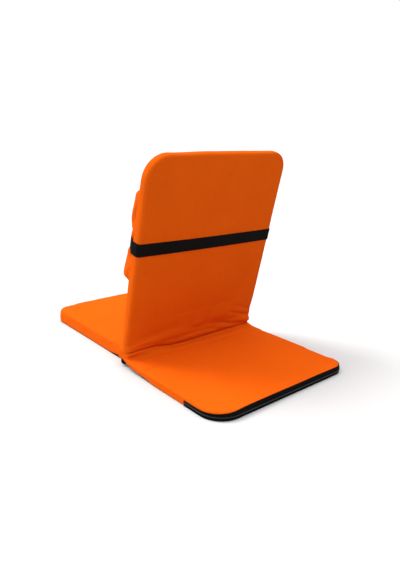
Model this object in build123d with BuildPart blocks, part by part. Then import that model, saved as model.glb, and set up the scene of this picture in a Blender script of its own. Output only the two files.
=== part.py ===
"""Folding floor chair: a thick seat pad, a leaning backrest and a thin rear panel, each a bent steel
tube inside foam and cloth, hinged together along one line close to the floor. A loose lumbar cushion
is held on the backrest by an elastic strap.

Millimetres. +Z is up. The chair faces -Y, so the rear panel lies towards +Y. The origin is on the
floor, under the middle of the whole chair.
"""
import os
from math import atan, cos, degrees, radians, sin

from build123d import *

# ---- driving dimensions: panels, measured from the hinge line ---------------------------------
SEAT_LENGTH = 460.0
SEAT_THICKNESS = 43.0
SEAT_CORNER = 42.0
SEAT_CROWN = 4.0

BACK_WIDTH = 472.0  # the other widths follow from it
BACK_CHEEK = 3.35  # padding at each side of the backrest outside its hinge rivets
BACK_RISE = 537.0  # from the back pivot up to the top edge, along the lean
BACK_THICKNESS = 30.0
BACK_CORNER = 62.0
BACK_CROWN = 2.0
BACK_LEAN = 13.0  # degrees from upright, in use
BACK_TAIL_IN = 14.0  # how far the backrest's padding reaches below its pivot
TAPER_START = 36.0  # up the backrest, where its front thins towards the hinge
TAPER_SLOPE = 0.176

TAIL_OVERHANG = 1.0  # how far the rear panel's sides stand out past the backrest's
TAIL_LENGTH = 403.0
TAIL_THICKNESS = 24.0
TAIL_CORNER = 58.0
TAIL_CROWN = 1.5

DRAW_IN = 2.0  # how far a cushion's sides are pulled in half way between its corners
SOFT_EDGE = 9.0  # rounding of the seat's top edge
BACK_FRONT_EDGE = 8.0
BACK_REAR_EDGE = 6.0
TAIL_EDGE = 6.0
HINGE_CORNER = 14.0  # plan rounding of a panel's corners at the hinge line

# ---- driving dimensions: cloth, tubes and hinges ----------------------------------------------
CLOTH = 1.2
SLACK = 0.3  # gap between a cover and the foam in it
TUBE = 14.0
TUBE_WALL = 1.5
TIE_TUBE = 10.0
PLATE = 4.0
SHAFT = 8.0  # diameter of the pivot rivets
TURN_GAP = 0.05  # radial clearance of a turning fit
FACE_GAP = 0.1  # clearance between faces that turn past each other
STOP_PIN = 7.0
SPACER = 2.8
WASHER = 1.0
RING_RADIUS = 8.0
HEAD = 2.0
HEAD_RADIUS = 6.5
PLATE_RIVET = 6.0
PLATE_RIVET_HEAD = 9.0

SEAT_TUBE_Z = 20.0
BACK_PIVOT_Z = 56.0
BACK_PIVOT_SET = 8.3  # behind the hinge line
TAIL_PIVOT_Z = 13.0
TAIL_PIVOT_SET = 2.0  # behind the hinge line
RELIEF_RUN = 105.0  # how far from the tail pivot the undersides start to rise
SEAT_END = 14.0  # from the tail pivot forward to the seat pad
TAIL_END = 15.0  # from the tail pivot back to the tail pad
LEG_BELOW = 22.0  # how far a back leg reaches below its pivot
LEG_AHEAD = 9.0  # how far a tail leg reaches in front of its pivot
BACK_STOP_DROP = 15.0  # back stop pin below the back pivot, along the leg
TAIL_STOP_RUN = 20.0  # tail stop pin behind the tail pivot
FOLDED_GAP = 14.0  # degrees between the seat and the backrest folded over it

# ---- driving dimensions: cushion, strap and zip -----------------------------------------------
LUMBAR_SET_IN = 12.0  # from the backrest's sides to the cushion's
LUMBAR_LOW = 183.0  # lower edge, up the backrest from its pivot
LUMBAR_HEIGHT = 251.0
LUMBAR_CORNER = 30.0
LUMBAR_WAIST = 40.0  # thickness under the strap, in the middle
LUMBAR_PINCH = 27.0  # thickness under the strap, at the ends
LUMBAR_LOWER_LOBE = 58.0
LUMBAR_UPPER_LOBE = 52.0
LUMBAR_MIDDLE = 61.0  # thickness that the crown would reach with no strap
LUMBAR_END = 47.0  # thickness of the crown at its ends
LUMBAR_LOWER_RUN = 31.0  # from the lower edge up to the lower lobe's fullest line
LUMBAR_UPPER_RUN = 34.0  # from the upper edge down to the upper lobe's fullest line
LUMBAR_END_RUN = 13.0  # from an end in to the crown's shoulder
LUMBAR_EDGE_BULGE = 13.5  # rounding of the upper and lower edges, over their chords
LUMBAR_LOBE_BULGE = 7.0
LUMBAR_END_BULGE = 6.0
LUMBAR_DRAW_IN = 5.0
STRAP_HEIGHT = 292.0  # middle of the strap, up the backrest from its pivot
STRAP_WIDTH = 35.0
STRAP_THICKNESS = 1.6
STRAP_GAP = 0.4
STRAP_SHOULDER = 3.0  # from the cushion's ends in to where the strap turns over them
STRAP_BEND = 6.0
STRAP_DENT = 2.0  # how far the dent in the cushion reaches past the strap's edges

ZIP_RUN = 123.0  # how far the zip reaches forward along each side
ZIP_RECESS = 3.5
ZIP_BAND = 16.4  # height of the whole band
TEETH = 2.8
TEETH_PROUD = 0.4
SLIDER = 10.0
SLIDER_HEIGHT = 8.0
SLIDER_THICKNESS = 1.4
PULL_LENGTH = 18.0
PULL_HEIGHT = 5.0
PULL_THICKNESS = 1.1
PULL_PIN = 1.1
EYE_RADIUS = 1.2
EYE_HEIGHT = 3.0
LUG = 1.4  # thickness of each of the slider's two lugs
LUG_LENGTH = 3.2
LUG_DEPTH = 1.8
LUG_GAP = 0.2
PULL_NECK = 1.0  # from the pull's eye to its plate
PULL_HOLE = 1.3
ZIP_STOP = 1.5  # length of a stop block
ZIP_STOP_PROUD = 0.5

# ---- driving dimensions: cloth across the hinge line -------------------------------------------
SEAM_SET = 21.8  # behind the hinge line, where the two rear gussets are sewn together
SEAM_RISE = 10.0  # above the rear panel's top
GUSSET_OFF = 1.0  # from the pads to the rear gussets' middle
GUSSET_UP = 24.0  # how far the upper gusset lies up the backrest from its pivot
GUSSET_FREE = 10.0  # how far below the pivot it leaves the backrest
GUSSET_RUN = 40.0  # how far the lower gusset reaches past the seam
FRONT_LAP = 22.0  # how far the front gusset lies over the seat and the backrest
BRIDGE_SAG = 2.5  # how far the base bridge is drawn up in its middle

# ---- places worked out from them --------------------------------------------------------------
HINGE_Y = (SEAT_LENGTH - TAIL_LENGTH) / 2  # puts the origin under the middle of the whole length
SEAT_FRONT = HINGE_Y - SEAT_LENGTH
TAIL_REAR = HINGE_Y + TAIL_LENGTH
BACK_PIVOT = (HINGE_Y + BACK_PIVOT_SET, BACK_PIVOT_Z)
TAIL_PIVOT = (HINGE_Y + TAIL_PIVOT_SET, TAIL_PIVOT_Z)
SEAT_REAR = TAIL_PIVOT[0] - SEAT_END
TAIL_FRONT = TAIL_PIVOT[0] + TAIL_END
TUBE_RADIUS = TUBE / 2
SHAFT_RADIUS = SHAFT / 2

# across the chair: seat tube, plate, spacer and then the legs, which stay outside the seat pad
HINGE_STACK = SPACER + TUBE + WASHER + HEAD + 3 * FACE_GAP + TURN_GAP
PLATE_OUT = BACK_WIDTH / 2 - BACK_CHEEK - HINGE_STACK
SEAT_WIDTH = 2 * (PLATE_OUT + CLOTH + SLACK)
TAIL_WIDTH = BACK_WIDTH + 2 * TAIL_OVERHANG
LUMBAR_WIDTH = BACK_WIDTH - 2 * LUMBAR_SET_IN
PLATE_IN = PLATE_OUT - PLATE
SEAT_TUBE_X = PLATE_IN - TUBE_RADIUS - TURN_GAP
LEG_IN = PLATE_OUT + SPACER + 2 * FACE_GAP
LEG_X = LEG_IN + TUBE_RADIUS
LEG_OUT = LEG_IN + TUBE
WASHER_OUT = LEG_OUT + FACE_GAP + WASHER
HEAD_OUT = WASHER_OUT + TURN_GAP + HEAD
POCKET_IN = PLATE_IN - 4.5
POCKET_OUT = HEAD_OUT + 0.5

# the undersides rise towards the hinge at half the angle that the fold leaves open
RELIEF_SLOPE = TAIL_PIVOT_Z / RELIEF_RUN
TAIL_FOLD = 180 - 2 * degrees(atan(RELIEF_SLOPE)) - 0.4
BACK_FOLD = 90 + BACK_LEAN - FOLDED_GAP
STRIP_RISE = TAIL_PIVOT_Z - TUBE_RADIUS - CLOTH - SLACK  # under the tail tube, at the tail's front end
STRIP_SLOPE = STRIP_RISE / (RELIEF_RUN - TAIL_END)
RELIEF_HALF = SEAT_WIDTH / 2 + SLACK

# directions and planes, first the flat pads', then the leaning backrest's
DOWN = Vector(0, 0, -1)
ALONG = Vector(0, 1, 0)
LEAN = radians(BACK_LEAN)
UP_BACK = Vector(0, sin(LEAN), cos(LEAN))
FRONT_OF_BACK = Vector(0, -cos(LEAN), sin(LEAN))
BACK_ORIGIN = Vector(0, *BACK_PIVOT)
BACK_FACE = Plane(origin=BACK_ORIGIN, x_dir=(1, 0, 0), z_dir=FRONT_OF_BACK)  # x across, y up the back
BACK_SIDE = Plane(origin=BACK_ORIGIN, x_dir=UP_BACK, z_dir=(1, 0, 0))  # x up the back, y to its front
HALF_BACK = BACK_THICKNESS / 2


def back_level(height):
    """Plane square to the backrest at a height up it: x across the chair, y to its rear."""
    return Plane(origin=BACK_ORIGIN + UP_BACK * height, x_dir=(1, 0, 0), z_dir=UP_BACK)


def dome_radius(half_width, crown):
    """Radius of the large sphere that drops by crown over half a pad's width."""
    return half_width**2 / (2 * crown)


# ---- helpers ----------------------------------------------------------------------------------
def pad_outline(half_width, low, high, low_corner, high_corner, draw_in, inset):
    """A pad seen square on, with rounded corners and sides drawn in between them."""
    w, a, b = half_width - inset, low + inset, high - inset
    with BuildSketch() as shape:
        with BuildLine():
            if draw_in:
                ThreePointArc((-w, a), (-w + draw_in, (a + b) / 2), (-w, b))
                ThreePointArc((w, b), (w - draw_in, (a + b) / 2), (w, a))
            else:
                Line((-w, a), (-w, b))
                Line((w, b), (w, a))
            Line((-w, b), (w, b))
            Line((w, a), (-w, a))
        make_face()
        fillet(shape.vertices().group_by(Axis.Y)[-1], high_corner - inset)
        fillet(shape.vertices().group_by(Axis.Y)[0], low_corner - inset)
    return shape.sketch


def disc(point, radius, x_start, x_end):
    """Cylinder along X about a (y, z) point."""
    with BuildPart() as made:
        with BuildSketch(Plane.YZ.offset(x_start)):
            with Locations(point):
                Circle(radius)
        extrude(amount=x_end - x_start)
    return made.part


def both_sides(made):
    """A solid on the +X side and its mirror image."""
    return [made, mirror(made, about=Plane.YZ)]


def rod(path, radius):
    """Round bar along a path."""
    with BuildPart() as made:
        with BuildSketch(Plane(path @ 0, z_dir=path % 0)):
            Circle(radius)
        sweep(path=path)
    return made.part


def frame_path(plane, half_width, start, end, corner):
    """A U of tube on a plane: up one leg from start, across at end, and down the other."""
    with BuildLine(plane) as path:
        FilletPolyline(
            (-half_width, start), (-half_width, end), (half_width, end), (half_width, start),
            radius=corner,
        )
    return path.line


def cloth_strip(points, bend, half_width):
    """A strip of cloth across the chair that follows a line of (y, z) points."""
    with BuildPart() as made:
        with BuildSketch(Plane.YZ):
            with BuildLine():
                FilletPolyline(*points, radius=bend)
            trace(line_width=CLOTH)
        extrude(amount=half_width, both=True)
    return made.part


def underside_rise(direction, slope, lift, half_width, stop=0.0):
    """Space under a pad where its underside rises, until stop short of the tail pivot.

    The seat is in direction -1 from that pivot, the rear panel in direction 1.
    """
    start = TAIL_PIVOT[0] + direction * RELIEF_RUN
    end = TAIL_PIVOT[0] + direction * stop
    below = -5.0
    with BuildPart() as made:
        with BuildSketch(Plane.YZ):
            with BuildLine():
                Polyline(
                    (start, lift),
                    (end, lift + slope * (RELIEF_RUN - stop)),
                    (end, below),
                    (start, below),
                    close=True,
                )
            make_face()
        extrude(amount=half_width, both=True)
    return made.part


def dome(top, inward, along, radius, inset):
    """Large ball that crowns a pad: top is its highest point, and along lies in the pad's plane."""
    with BuildPart() as made:
        with Locations(Plane(origin=top + inward * radius, x_dir=inward, z_dir=along)):
            Sphere(radius - inset)
    return made.part


def save(builder, name):
    """Labels a finished piece and writes it."""
    builder.part.label = name
    export_step(builder.part, f"parts/{name}.step")


os.makedirs("parts", exist_ok=True)

# ---- pads: the same solid, made smaller by an inset, gives a cover's inside and its foam -------
SEAT_MIDDLE = (SEAT_FRONT + SEAT_REAR) / 2
TAIL_MIDDLE = (TAIL_FRONT + TAIL_REAR) / 2
BACK_MIDDLE = (BACK_RISE - BACK_TAIL_IN) / 2


def seat_outline(inset):
    return pad_outline(
        SEAT_WIDTH / 2, SEAT_FRONT, SEAT_REAR, SEAT_CORNER, HINGE_CORNER, DRAW_IN, inset
    )


def seat_block(inset, bottom):
    """The seat pad's solid, with its crowned top."""
    top = SEAT_THICKNESS + SEAT_CROWN
    radius = dome_radius(SEAT_WIDTH / 2, SEAT_CROWN)
    with BuildPart() as block:
        with BuildSketch(Plane.XY.offset(bottom)):
            add(seat_outline(inset))
        extrude(amount=top - bottom)
        peak = Vector(0, SEAT_MIDDLE, top)
        add(dome(peak, DOWN, ALONG, radius, inset), mode=Mode.INTERSECT)
        fillet(block.faces().filter_by(GeomType.SPHERE).edges(), SOFT_EDGE - inset)
    return block.part


def tail_outline(inset):
    return pad_outline(
        TAIL_WIDTH / 2, TAIL_FRONT, TAIL_REAR, HINGE_CORNER, TAIL_CORNER, 0, inset
    )


def tail_block(inset, bottom):
    """The rear panel's solid, slightly crowned."""
    top = TAIL_THICKNESS + TAIL_CROWN
    radius = dome_radius(TAIL_WIDTH / 2, TAIL_CROWN)
    with BuildPart() as block:
        with BuildSketch(Plane.XY.offset(bottom)):
            add(tail_outline(inset))
        extrude(amount=top - bottom)
        peak = Vector(0, TAIL_MIDDLE, top)
        add(dome(peak, DOWN, ALONG, radius, inset), mode=Mode.INTERSECT)
        fillet(block.faces().filter_by(GeomType.SPHERE).edges(), TAIL_EDGE - inset)
    return block.part


def tail_relief(lift):
    """What the tail's underside leaves free: more between the legs, less under them."""
    return [
        underside_rise(1, RELIEF_SLOPE, lift, RELIEF_HALF + CLOTH),
        underside_rise(1, STRIP_SLOPE, lift, TAIL_WIDTH),
    ]


def folding_taper(inset):
    """What the backrest's front leaves free near its lower end, so that it folds over the seat."""
    along = Vector(1, TAPER_SLOPE).normalized()
    outward = Vector(-along.Y, along.X)
    start = Vector(TAPER_START, HALF_BACK) - outward * inset
    upper, lower = start + along * 2 * TAPER_START, start - along * 3 * TAPER_START
    clear = 2 * BACK_THICKNESS
    with BuildPart() as made:
        with BuildSketch(BACK_SIDE):
            with BuildLine():
                Polyline(
                    (upper.X, upper.Y), (lower.X, lower.Y), (lower.X, clear), (upper.X, clear),
                    close=True,
                )
            make_face()
        extrude(amount=BACK_WIDTH, both=True)
    return made.part


def back_block(inset):
    """The backrest's solid: crowned front, flat rear, thinner at the lower end."""
    radius = dome_radius(BACK_WIDTH / 2, BACK_CROWN)
    top = HALF_BACK + BACK_CROWN
    with BuildPart() as block:
        with BuildSketch(BACK_FACE.offset(-HALF_BACK + inset)):
            add(
                pad_outline(
                    BACK_WIDTH / 2, -BACK_TAIL_IN, BACK_RISE, HINGE_CORNER, BACK_CORNER,
                    DRAW_IN, inset,
                )
            )
        extrude(amount=HALF_BACK - inset + top)
        peak = BACK_ORIGIN + UP_BACK * BACK_MIDDLE + FRONT_OF_BACK * top
        add(dome(peak, FRONT_OF_BACK * -1, UP_BACK, radius, inset), mode=Mode.INTERSECT)
        fillet(block.faces().filter_by(GeomType.SPHERE).edges(), BACK_FRONT_EDGE - inset)
        rear = block.faces().filter_by(GeomType.PLANE).sort_by(SortBy.AREA)[-1]
        fillet(rear.edges(), BACK_REAR_EDGE - inset)
        add(folding_taper(inset), mode=Mode.SUBTRACT)
    return block.part


def hinge_notch(plane, reach):
    """Space round a hinge in both sides of a pad, as far as reach from the pivot, inside a cheek."""
    past = 2 * BACK_THICKNESS
    with BuildPart() as made:
        with BuildSketch(plane.offset(-past)):
            with Locations(((POCKET_IN + POCKET_OUT) / 2, reach - past)):
                Rectangle(POCKET_OUT - POCKET_IN, 2 * past)
        extrude(amount=2 * past)
    return both_sides(made.part)


BACK_NOTCH = hinge_notch(BACK_FACE, LEG_BELOW + 0.5)
TAIL_NOTCH = hinge_notch(
    Plane.XY.offset(TAIL_PIVOT_Z).move(Location((0, TAIL_PIVOT[0], 0))),
    TAIL_STOP_RUN + TUBE_RADIUS + STOP_PIN / 2,
)

# ---- frames -----------------------------------------------------------------------------------
SEAT_RIM = SEAT_WIDTH / 2 - SEAT_TUBE_X
BACK_RIM = BACK_WIDTH / 2 - LEG_X
TAIL_RIM = TAIL_WIDTH / 2 - LEG_X
SEAT_PLANE = Plane.XY.offset(SEAT_TUBE_Z)
TAIL_PLANE = Plane.XY.offset(TAIL_PIVOT_Z)
PLUG_HEAD = 1.5
PLUG_DEPTH = 10.0
SEAT_LEG_END = SEAT_REAR - CLOTH - SLACK - PLUG_HEAD - 1.0
BACK_BAR = BACK_RISE - BACK_RIM
TAIL_BAR = TAIL_REAR - TAIL_RIM


def seat_path(start):
    return frame_path(SEAT_PLANE, SEAT_TUBE_X, start, SEAT_FRONT + SEAT_RIM, SEAT_CORNER - SEAT_RIM)


def back_path():
    return frame_path(BACK_FACE, LEG_X, -LEG_BELOW, BACK_BAR, BACK_CORNER - BACK_RIM)


def tail_path():
    start = TAIL_PIVOT[0] - LEG_AHEAD
    return frame_path(TAIL_PLANE, LEG_X, start, TAIL_BAR, TAIL_CORNER - TAIL_RIM)


RIVET_SPOTS = [(TAIL_PIVOT[0] - 62.0, SEAT_TUBE_Z), (TAIL_PIVOT[0] - 34.0, SEAT_TUBE_Z)]
SEAT_TIE_Y = RIVET_SPOTS[0][0] - 18.0
BACK_TIE = 66.0
TAIL_TIE_Y = TAIL_PIVOT[0] + 74.0

with BuildPart() as seat_frame:
    add(rod(seat_path(SEAT_LEG_END), TUBE_RADIUS))
    add(rod(seat_path(SEAT_LEG_END), TUBE_RADIUS - TUBE_WALL), mode=Mode.SUBTRACT)
    with BuildSketch(Plane.YZ):
        with Locations(*RIVET_SPOTS):
            Circle(PLATE_RIVET / 2 + TURN_GAP)
    extrude(amount=SEAT_WIDTH, both=True, mode=Mode.SUBTRACT)
save(seat_frame, "seat_frame")

with BuildPart() as back_frame:
    add(rod(back_path(), TUBE_RADIUS))
    add(rod(back_path(), TUBE_RADIUS - TUBE_WALL), mode=Mode.SUBTRACT)
    with BuildSketch(Plane.YZ):
        with Locations(BACK_PIVOT):
            Circle(SHAFT_RADIUS + TURN_GAP)
    extrude(amount=BACK_WIDTH, both=True, mode=Mode.SUBTRACT)
save(back_frame, "back_frame")

with BuildPart() as tail_frame:
    add(rod(tail_path(), TUBE_RADIUS))
    add(rod(tail_path(), TUBE_RADIUS - TUBE_WALL), mode=Mode.SUBTRACT)
    with BuildSketch(Plane.YZ):
        with Locations(TAIL_PIVOT):
            Circle(SHAFT_RADIUS + TURN_GAP)
    extrude(amount=TAIL_WIDTH, both=True, mode=Mode.SUBTRACT)
save(tail_frame, "tail_frame")


def tie_bar(point, radius, reach, bore=0.0):
    """Straight tube across a frame, between its legs."""
    with BuildPart() as made:
        with BuildSketch(Plane.YZ.offset(-reach)):
            with Locations(point):
                Circle(radius)
                if bore:
                    Circle(bore, mode=Mode.SUBTRACT)
        extrude(amount=2 * reach)
    return made.part


BACK_TIE_POINT = BACK_ORIGIN + UP_BACK * BACK_TIE
TIES = {
    "seat_cross_bar": ((SEAT_TIE_Y, SEAT_TUBE_Z), SEAT_TUBE_X),
    "back_cross_bar": ((BACK_TIE_POINT.Y, BACK_TIE_POINT.Z), LEG_X),
    "tail_cross_bar": ((TAIL_TIE_Y, TAIL_PIVOT_Z), LEG_X),
}
for tie_name, (tie_point, leg_x) in TIES.items():
    with BuildPart() as cross_bar:
        reach = leg_x - TUBE_RADIUS - TURN_GAP
        add(tie_bar(tie_point, TIE_TUBE / 2, reach, TIE_TUBE / 2 - TUBE_WALL))
    save(cross_bar, tie_name)


def end_plugs(path):
    """Plastic plugs in both open ends of a frame."""
    bore = TUBE_RADIUS - TUBE_WALL - TURN_GAP
    with BuildPart() as plugs:
        for end, inward in ((path @ 0, path % 0), (path @ 1, (path % 1) * -1)):
            with BuildSketch(Plane(end, z_dir=inward)):
                Circle(bore)
            extrude(amount=PLUG_DEPTH)
            with BuildSketch(Plane(end, z_dir=inward * -1)):
                Circle(TUBE_RADIUS)
            extrude(amount=PLUG_HEAD)
    return plugs


def end_shaft_clearance(point):
    """Room for a pivot rivet to pass a plug."""
    return disc(point, SHAFT_RADIUS + TURN_GAP, -TAIL_WIDTH, TAIL_WIDTH)


save(end_plugs(seat_path(SEAT_LEG_END)), "seat_frame_plugs")
save(end_plugs(back_path()), "back_leg_plugs")
with BuildPart() as tail_leg_plugs:
    add(end_plugs(tail_path()).part)
    add(end_shaft_clearance(TAIL_PIVOT), mode=Mode.SUBTRACT)
save(tail_leg_plugs, "tail_leg_plugs")

# ---- hinge plates, rivets, stops and rings ------------------------------------------------------
STOP_RADIUS = STOP_PIN / 2
STOP_REACH = TUBE_RADIUS + STOP_RADIUS + FACE_GAP  # from a leg's middle to its stop pin's middle
BACK_STOP_POINT = BACK_ORIGIN - UP_BACK * BACK_STOP_DROP + FRONT_OF_BACK * STOP_REACH
BACK_STOP = (BACK_STOP_POINT.Y, BACK_STOP_POINT.Z)
TAIL_STOP = (TAIL_PIVOT[0] + TAIL_STOP_RUN, TAIL_PIVOT[1] + STOP_REACH)
STOP_END = LEG_X + 3.5
FOOT_RADIUS = 8.0
STOP_LOBE = 6.5


def plate_outline(grow):
    """Side view of a hinge plate: a foot along the seat tube and an arm up to the back pivot."""
    foot = [
        (RIVET_SPOTS[0], FOOT_RADIUS),
        (RIVET_SPOTS[1], FOOT_RADIUS),
        (TAIL_PIVOT, FOOT_RADIUS + 1),
    ]
    arm = [
        (BACK_PIVOT, FOOT_RADIUS + 2),
        (BACK_STOP, STOP_LOBE),
        (TAIL_STOP, STOP_LOBE),
        (TAIL_PIVOT, FOOT_RADIUS + 1),
    ]
    with BuildSketch() as shape:
        for group in (foot, arm):
            with BuildSketch(mode=Mode.PRIVATE) as lobe:
                for spot, radius in group:
                    with Locations(spot):
                        Circle(radius + grow)
                make_hull()
            add(lobe.sketch)
    return shape.sketch


PLATE_STOP = FOOT_RADIUS + 4.0  # from the tail pivot to where a plate stays above the seat's underside

with BuildPart() as hinge_plate_left:
    with BuildSketch(Plane.YZ.offset(PLATE_IN)):
        add(plate_outline(0))
        with Locations(BACK_PIVOT, TAIL_PIVOT):
            Circle(SHAFT_RADIUS + TURN_GAP, mode=Mode.SUBTRACT)
        with Locations(BACK_STOP, TAIL_STOP):
            Circle(STOP_RADIUS + TURN_GAP, mode=Mode.SUBTRACT)
    extrude(amount=PLATE)
    add(underside_rise(-1, RELIEF_SLOPE, SLACK, SEAT_WIDTH, PLATE_STOP), mode=Mode.SUBTRACT)
    with Locations(*[Plane((PLATE_OUT, *spot), z_dir=(1, 0, 0)) for spot in RIVET_SPOTS]):
        CounterSinkHole(
            radius=PLATE_RIVET / 2 + TURN_GAP,
            counter_sink_radius=PLATE_RIVET_HEAD / 2 + TURN_GAP,
            depth=PLATE,
            counter_sink_angle=90,
        )
save(hinge_plate_left, "hinge_plate_left")

with BuildPart() as hinge_plate_right:
    mirror(hinge_plate_left.part, about=Plane.YZ)
save(hinge_plate_right, "hinge_plate_right")

TUBE_INNER_SIDE = SEAT_TUBE_X - TUBE_RADIUS
FORMED_HEAD = 1.8
with BuildPart() as plate_rivets:
    for spot in RIVET_SPOTS:
        sunk = (PLATE_RIVET_HEAD - PLATE_RIVET) / 2
        add(disc(spot, PLATE_RIVET / 2, TUBE_INNER_SIDE - FORMED_HEAD, PLATE_OUT - sunk))
        add(disc(spot, PLATE_RIVET_HEAD / 2, TUBE_INNER_SIDE - FORMED_HEAD, TUBE_INNER_SIDE - TURN_GAP))
        with BuildSketch(Plane((PLATE_OUT - sunk, *spot), x_dir=(0, 1, 0), z_dir=(1, 0, 0))):
            Circle(PLATE_RIVET / 2)
        with BuildSketch(Plane((PLATE_OUT, *spot), x_dir=(0, 1, 0), z_dir=(1, 0, 0))):
            Circle(PLATE_RIVET_HEAD / 2)
        loft()
    mirror(about=Plane.YZ)
save(plate_rivets, "plate_rivets")


def pivot_rivet(point):
    """Shaft through a plate and a leg, with a head at each end."""
    with BuildPart() as rivet:
        add(disc(point, HEAD_RADIUS, PLATE_IN - TURN_GAP - HEAD, PLATE_IN - TURN_GAP))
        add(disc(point, SHAFT_RADIUS, PLATE_IN - TURN_GAP - HEAD, HEAD_OUT))
        add(disc(point, HEAD_RADIUS, HEAD_OUT - HEAD, HEAD_OUT))
        fillet(rivet.edges().group_by(Axis.X)[-1], HEAD / 2)
        mirror(about=Plane.YZ)
    return rivet


save(pivot_rivet(BACK_PIVOT), "back_pivot_rivets")
save(pivot_rivet(TAIL_PIVOT), "tail_pivot_rivets")


def ring(point, x_start, x_end):
    """Nylon ring round a pivot rivet."""
    with BuildPart() as made:
        add(disc(point, RING_RADIUS, x_start, x_end))
        add(disc(point, SHAFT_RADIUS + TURN_GAP, x_start, x_end), mode=Mode.SUBTRACT)
    return made.part


with BuildPart() as pivot_spacers:
    for point in (BACK_PIVOT, TAIL_PIVOT):
        add(both_sides(ring(point, PLATE_OUT + FACE_GAP, PLATE_OUT + FACE_GAP + SPACER)))
save(pivot_spacers, "pivot_spacers")

with BuildPart() as pivot_washers:
    for point in (BACK_PIVOT, TAIL_PIVOT):
        add(both_sides(ring(point, LEG_OUT + FACE_GAP, WASHER_OUT)))
save(pivot_washers, "pivot_washers")


def stop_pins(point):
    """A pair of pins that stand out of the plates in a leg's way."""
    with BuildPart() as pins:
        add(disc(point, STOP_RADIUS, PLATE_IN - HEAD, STOP_END))
        add(disc(point, STOP_RADIUS + 1.5, PLATE_IN - HEAD, PLATE_IN - TURN_GAP))
        mirror(about=Plane.YZ)
    return pins


save(stop_pins(BACK_STOP), "back_stop_pins")
save(stop_pins(TAIL_STOP), "tail_stop_pins")

# ---- seat pad -----------------------------------------------------------------------------------
with BuildPart() as plate_slot:
    with BuildSketch(Plane.YZ.offset(TUBE_INNER_SIDE - FORMED_HEAD - SLACK)):
        with Locations(((RIVET_SPOTS[0][0] + SEAT_REAR) / 2 + 8.0, SEAT_TUBE_Z)):
            Rectangle(SEAT_REAR - RIVET_SPOTS[0][0] + 36.0, 2 * FOOT_RADIUS + 2 * SLACK)
    extrude(amount=PLATE_OUT + SLACK - TUBE_INNER_SIDE + FORMED_HEAD + SLACK)
    with BuildSketch(Plane.YZ.offset(PLATE_IN - HEAD - SLACK)):
        add(plate_outline(SLACK))
    extrude(amount=PLATE + HEAD + 2 * SLACK)

with BuildPart() as seat_cover:
    add(seat_block(0, CLOTH))
    add(seat_block(CLOTH, -CLOTH), mode=Mode.SUBTRACT)
    add(underside_rise(-1, RELIEF_SLOPE, CLOTH, SEAT_WIDTH), mode=Mode.SUBTRACT)
    add(both_sides(plate_slot.part), mode=Mode.SUBTRACT)
save(seat_cover, "seat_cover")

with BuildPart() as seat_foam:
    add(seat_block(CLOTH + SLACK, CLOTH + SLACK / 3))
    add(underside_rise(-1, RELIEF_SLOPE, CLOTH + SLACK / 3, SEAT_WIDTH), mode=Mode.SUBTRACT)
    add(rod(seat_path(SEAT_REAR), TUBE_RADIUS + SLACK), mode=Mode.SUBTRACT)
    add(tie_bar((SEAT_TIE_Y, SEAT_TUBE_Z), TIE_TUBE / 2 + SLACK, SEAT_TUBE_X), mode=Mode.SUBTRACT)
    add(both_sides(plate_slot.part), mode=Mode.SUBTRACT)
save(seat_foam, "seat_foam")


def base_profile(direction, slope, far_end, near_end):
    """Side view of a base cloth: flat on the floor, then rising towards the hinge."""
    bend = TAIL_PIVOT[0] + direction * RELIEF_RUN
    rise = slope * abs(near_end - bend)
    with BuildSketch() as shape:
        with BuildLine():
            Polyline(
                (far_end, 0), (bend, 0), (near_end, rise),
                (near_end, rise + CLOTH), (bend, CLOTH), (far_end, CLOTH),
                close=True,
            )
        make_face()
    return shape.sketch


with BuildPart() as seat_base_cloth:
    with BuildSketch():
        add(seat_outline(CLOTH))
    extrude(amount=SEAT_THICKNESS)
    with BuildSketch(Plane.YZ):
        add(base_profile(-1, RELIEF_SLOPE, SEAT_FRONT - CLOTH, SEAT_REAR))
    extrude(amount=SEAT_WIDTH, both=True, mode=Mode.INTERSECT)
    add(both_sides(plate_slot.part), mode=Mode.SUBTRACT)
save(seat_base_cloth, "seat_base_cloth")

# ---- backrest -----------------------------------------------------------------------------------
WEB_REAR = -TUBE_RADIUS - SLACK - STRAP_THICKNESS
WEB_FRONT = -TUBE_RADIUS - SLACK

with BuildPart() as back_cover:
    add(back_block(0))
    add(back_block(CLOTH), mode=Mode.SUBTRACT)
    add(BACK_NOTCH, mode=Mode.SUBTRACT)
save(back_cover, "back_cover")


def back_slab(low, high):
    """Everything between two depths of the backrest, front positive."""
    with BuildPart() as made:
        with BuildSketch(BACK_FACE.offset(low)):
            with Locations((0, BACK_MIDDLE)):
                Rectangle(2 * BACK_WIDTH, 2 * BACK_RISE)
        extrude(amount=high - low)
    return made.part


back_foam_solid = back_block(CLOTH + SLACK)

with BuildPart() as back_foam_front:
    add(back_foam_solid)
    add(back_slab(WEB_FRONT + TURN_GAP, BACK_THICKNESS), mode=Mode.INTERSECT)
    add(rod(back_path(), TUBE_RADIUS + SLACK / 2), mode=Mode.SUBTRACT)
    add(tie_bar(TIES["back_cross_bar"][0], TIE_TUBE / 2 + SLACK, LEG_X), mode=Mode.SUBTRACT)
    add(BACK_NOTCH, mode=Mode.SUBTRACT)
save(back_foam_front, "back_foam_front")

with BuildPart() as back_foam_rear:
    add(back_foam_solid)
    add(back_slab(-BACK_THICKNESS, WEB_REAR - TURN_GAP), mode=Mode.INTERSECT)
    add(BACK_NOTCH, mode=Mode.SUBTRACT)
save(back_foam_rear, "back_foam_rear")

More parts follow.
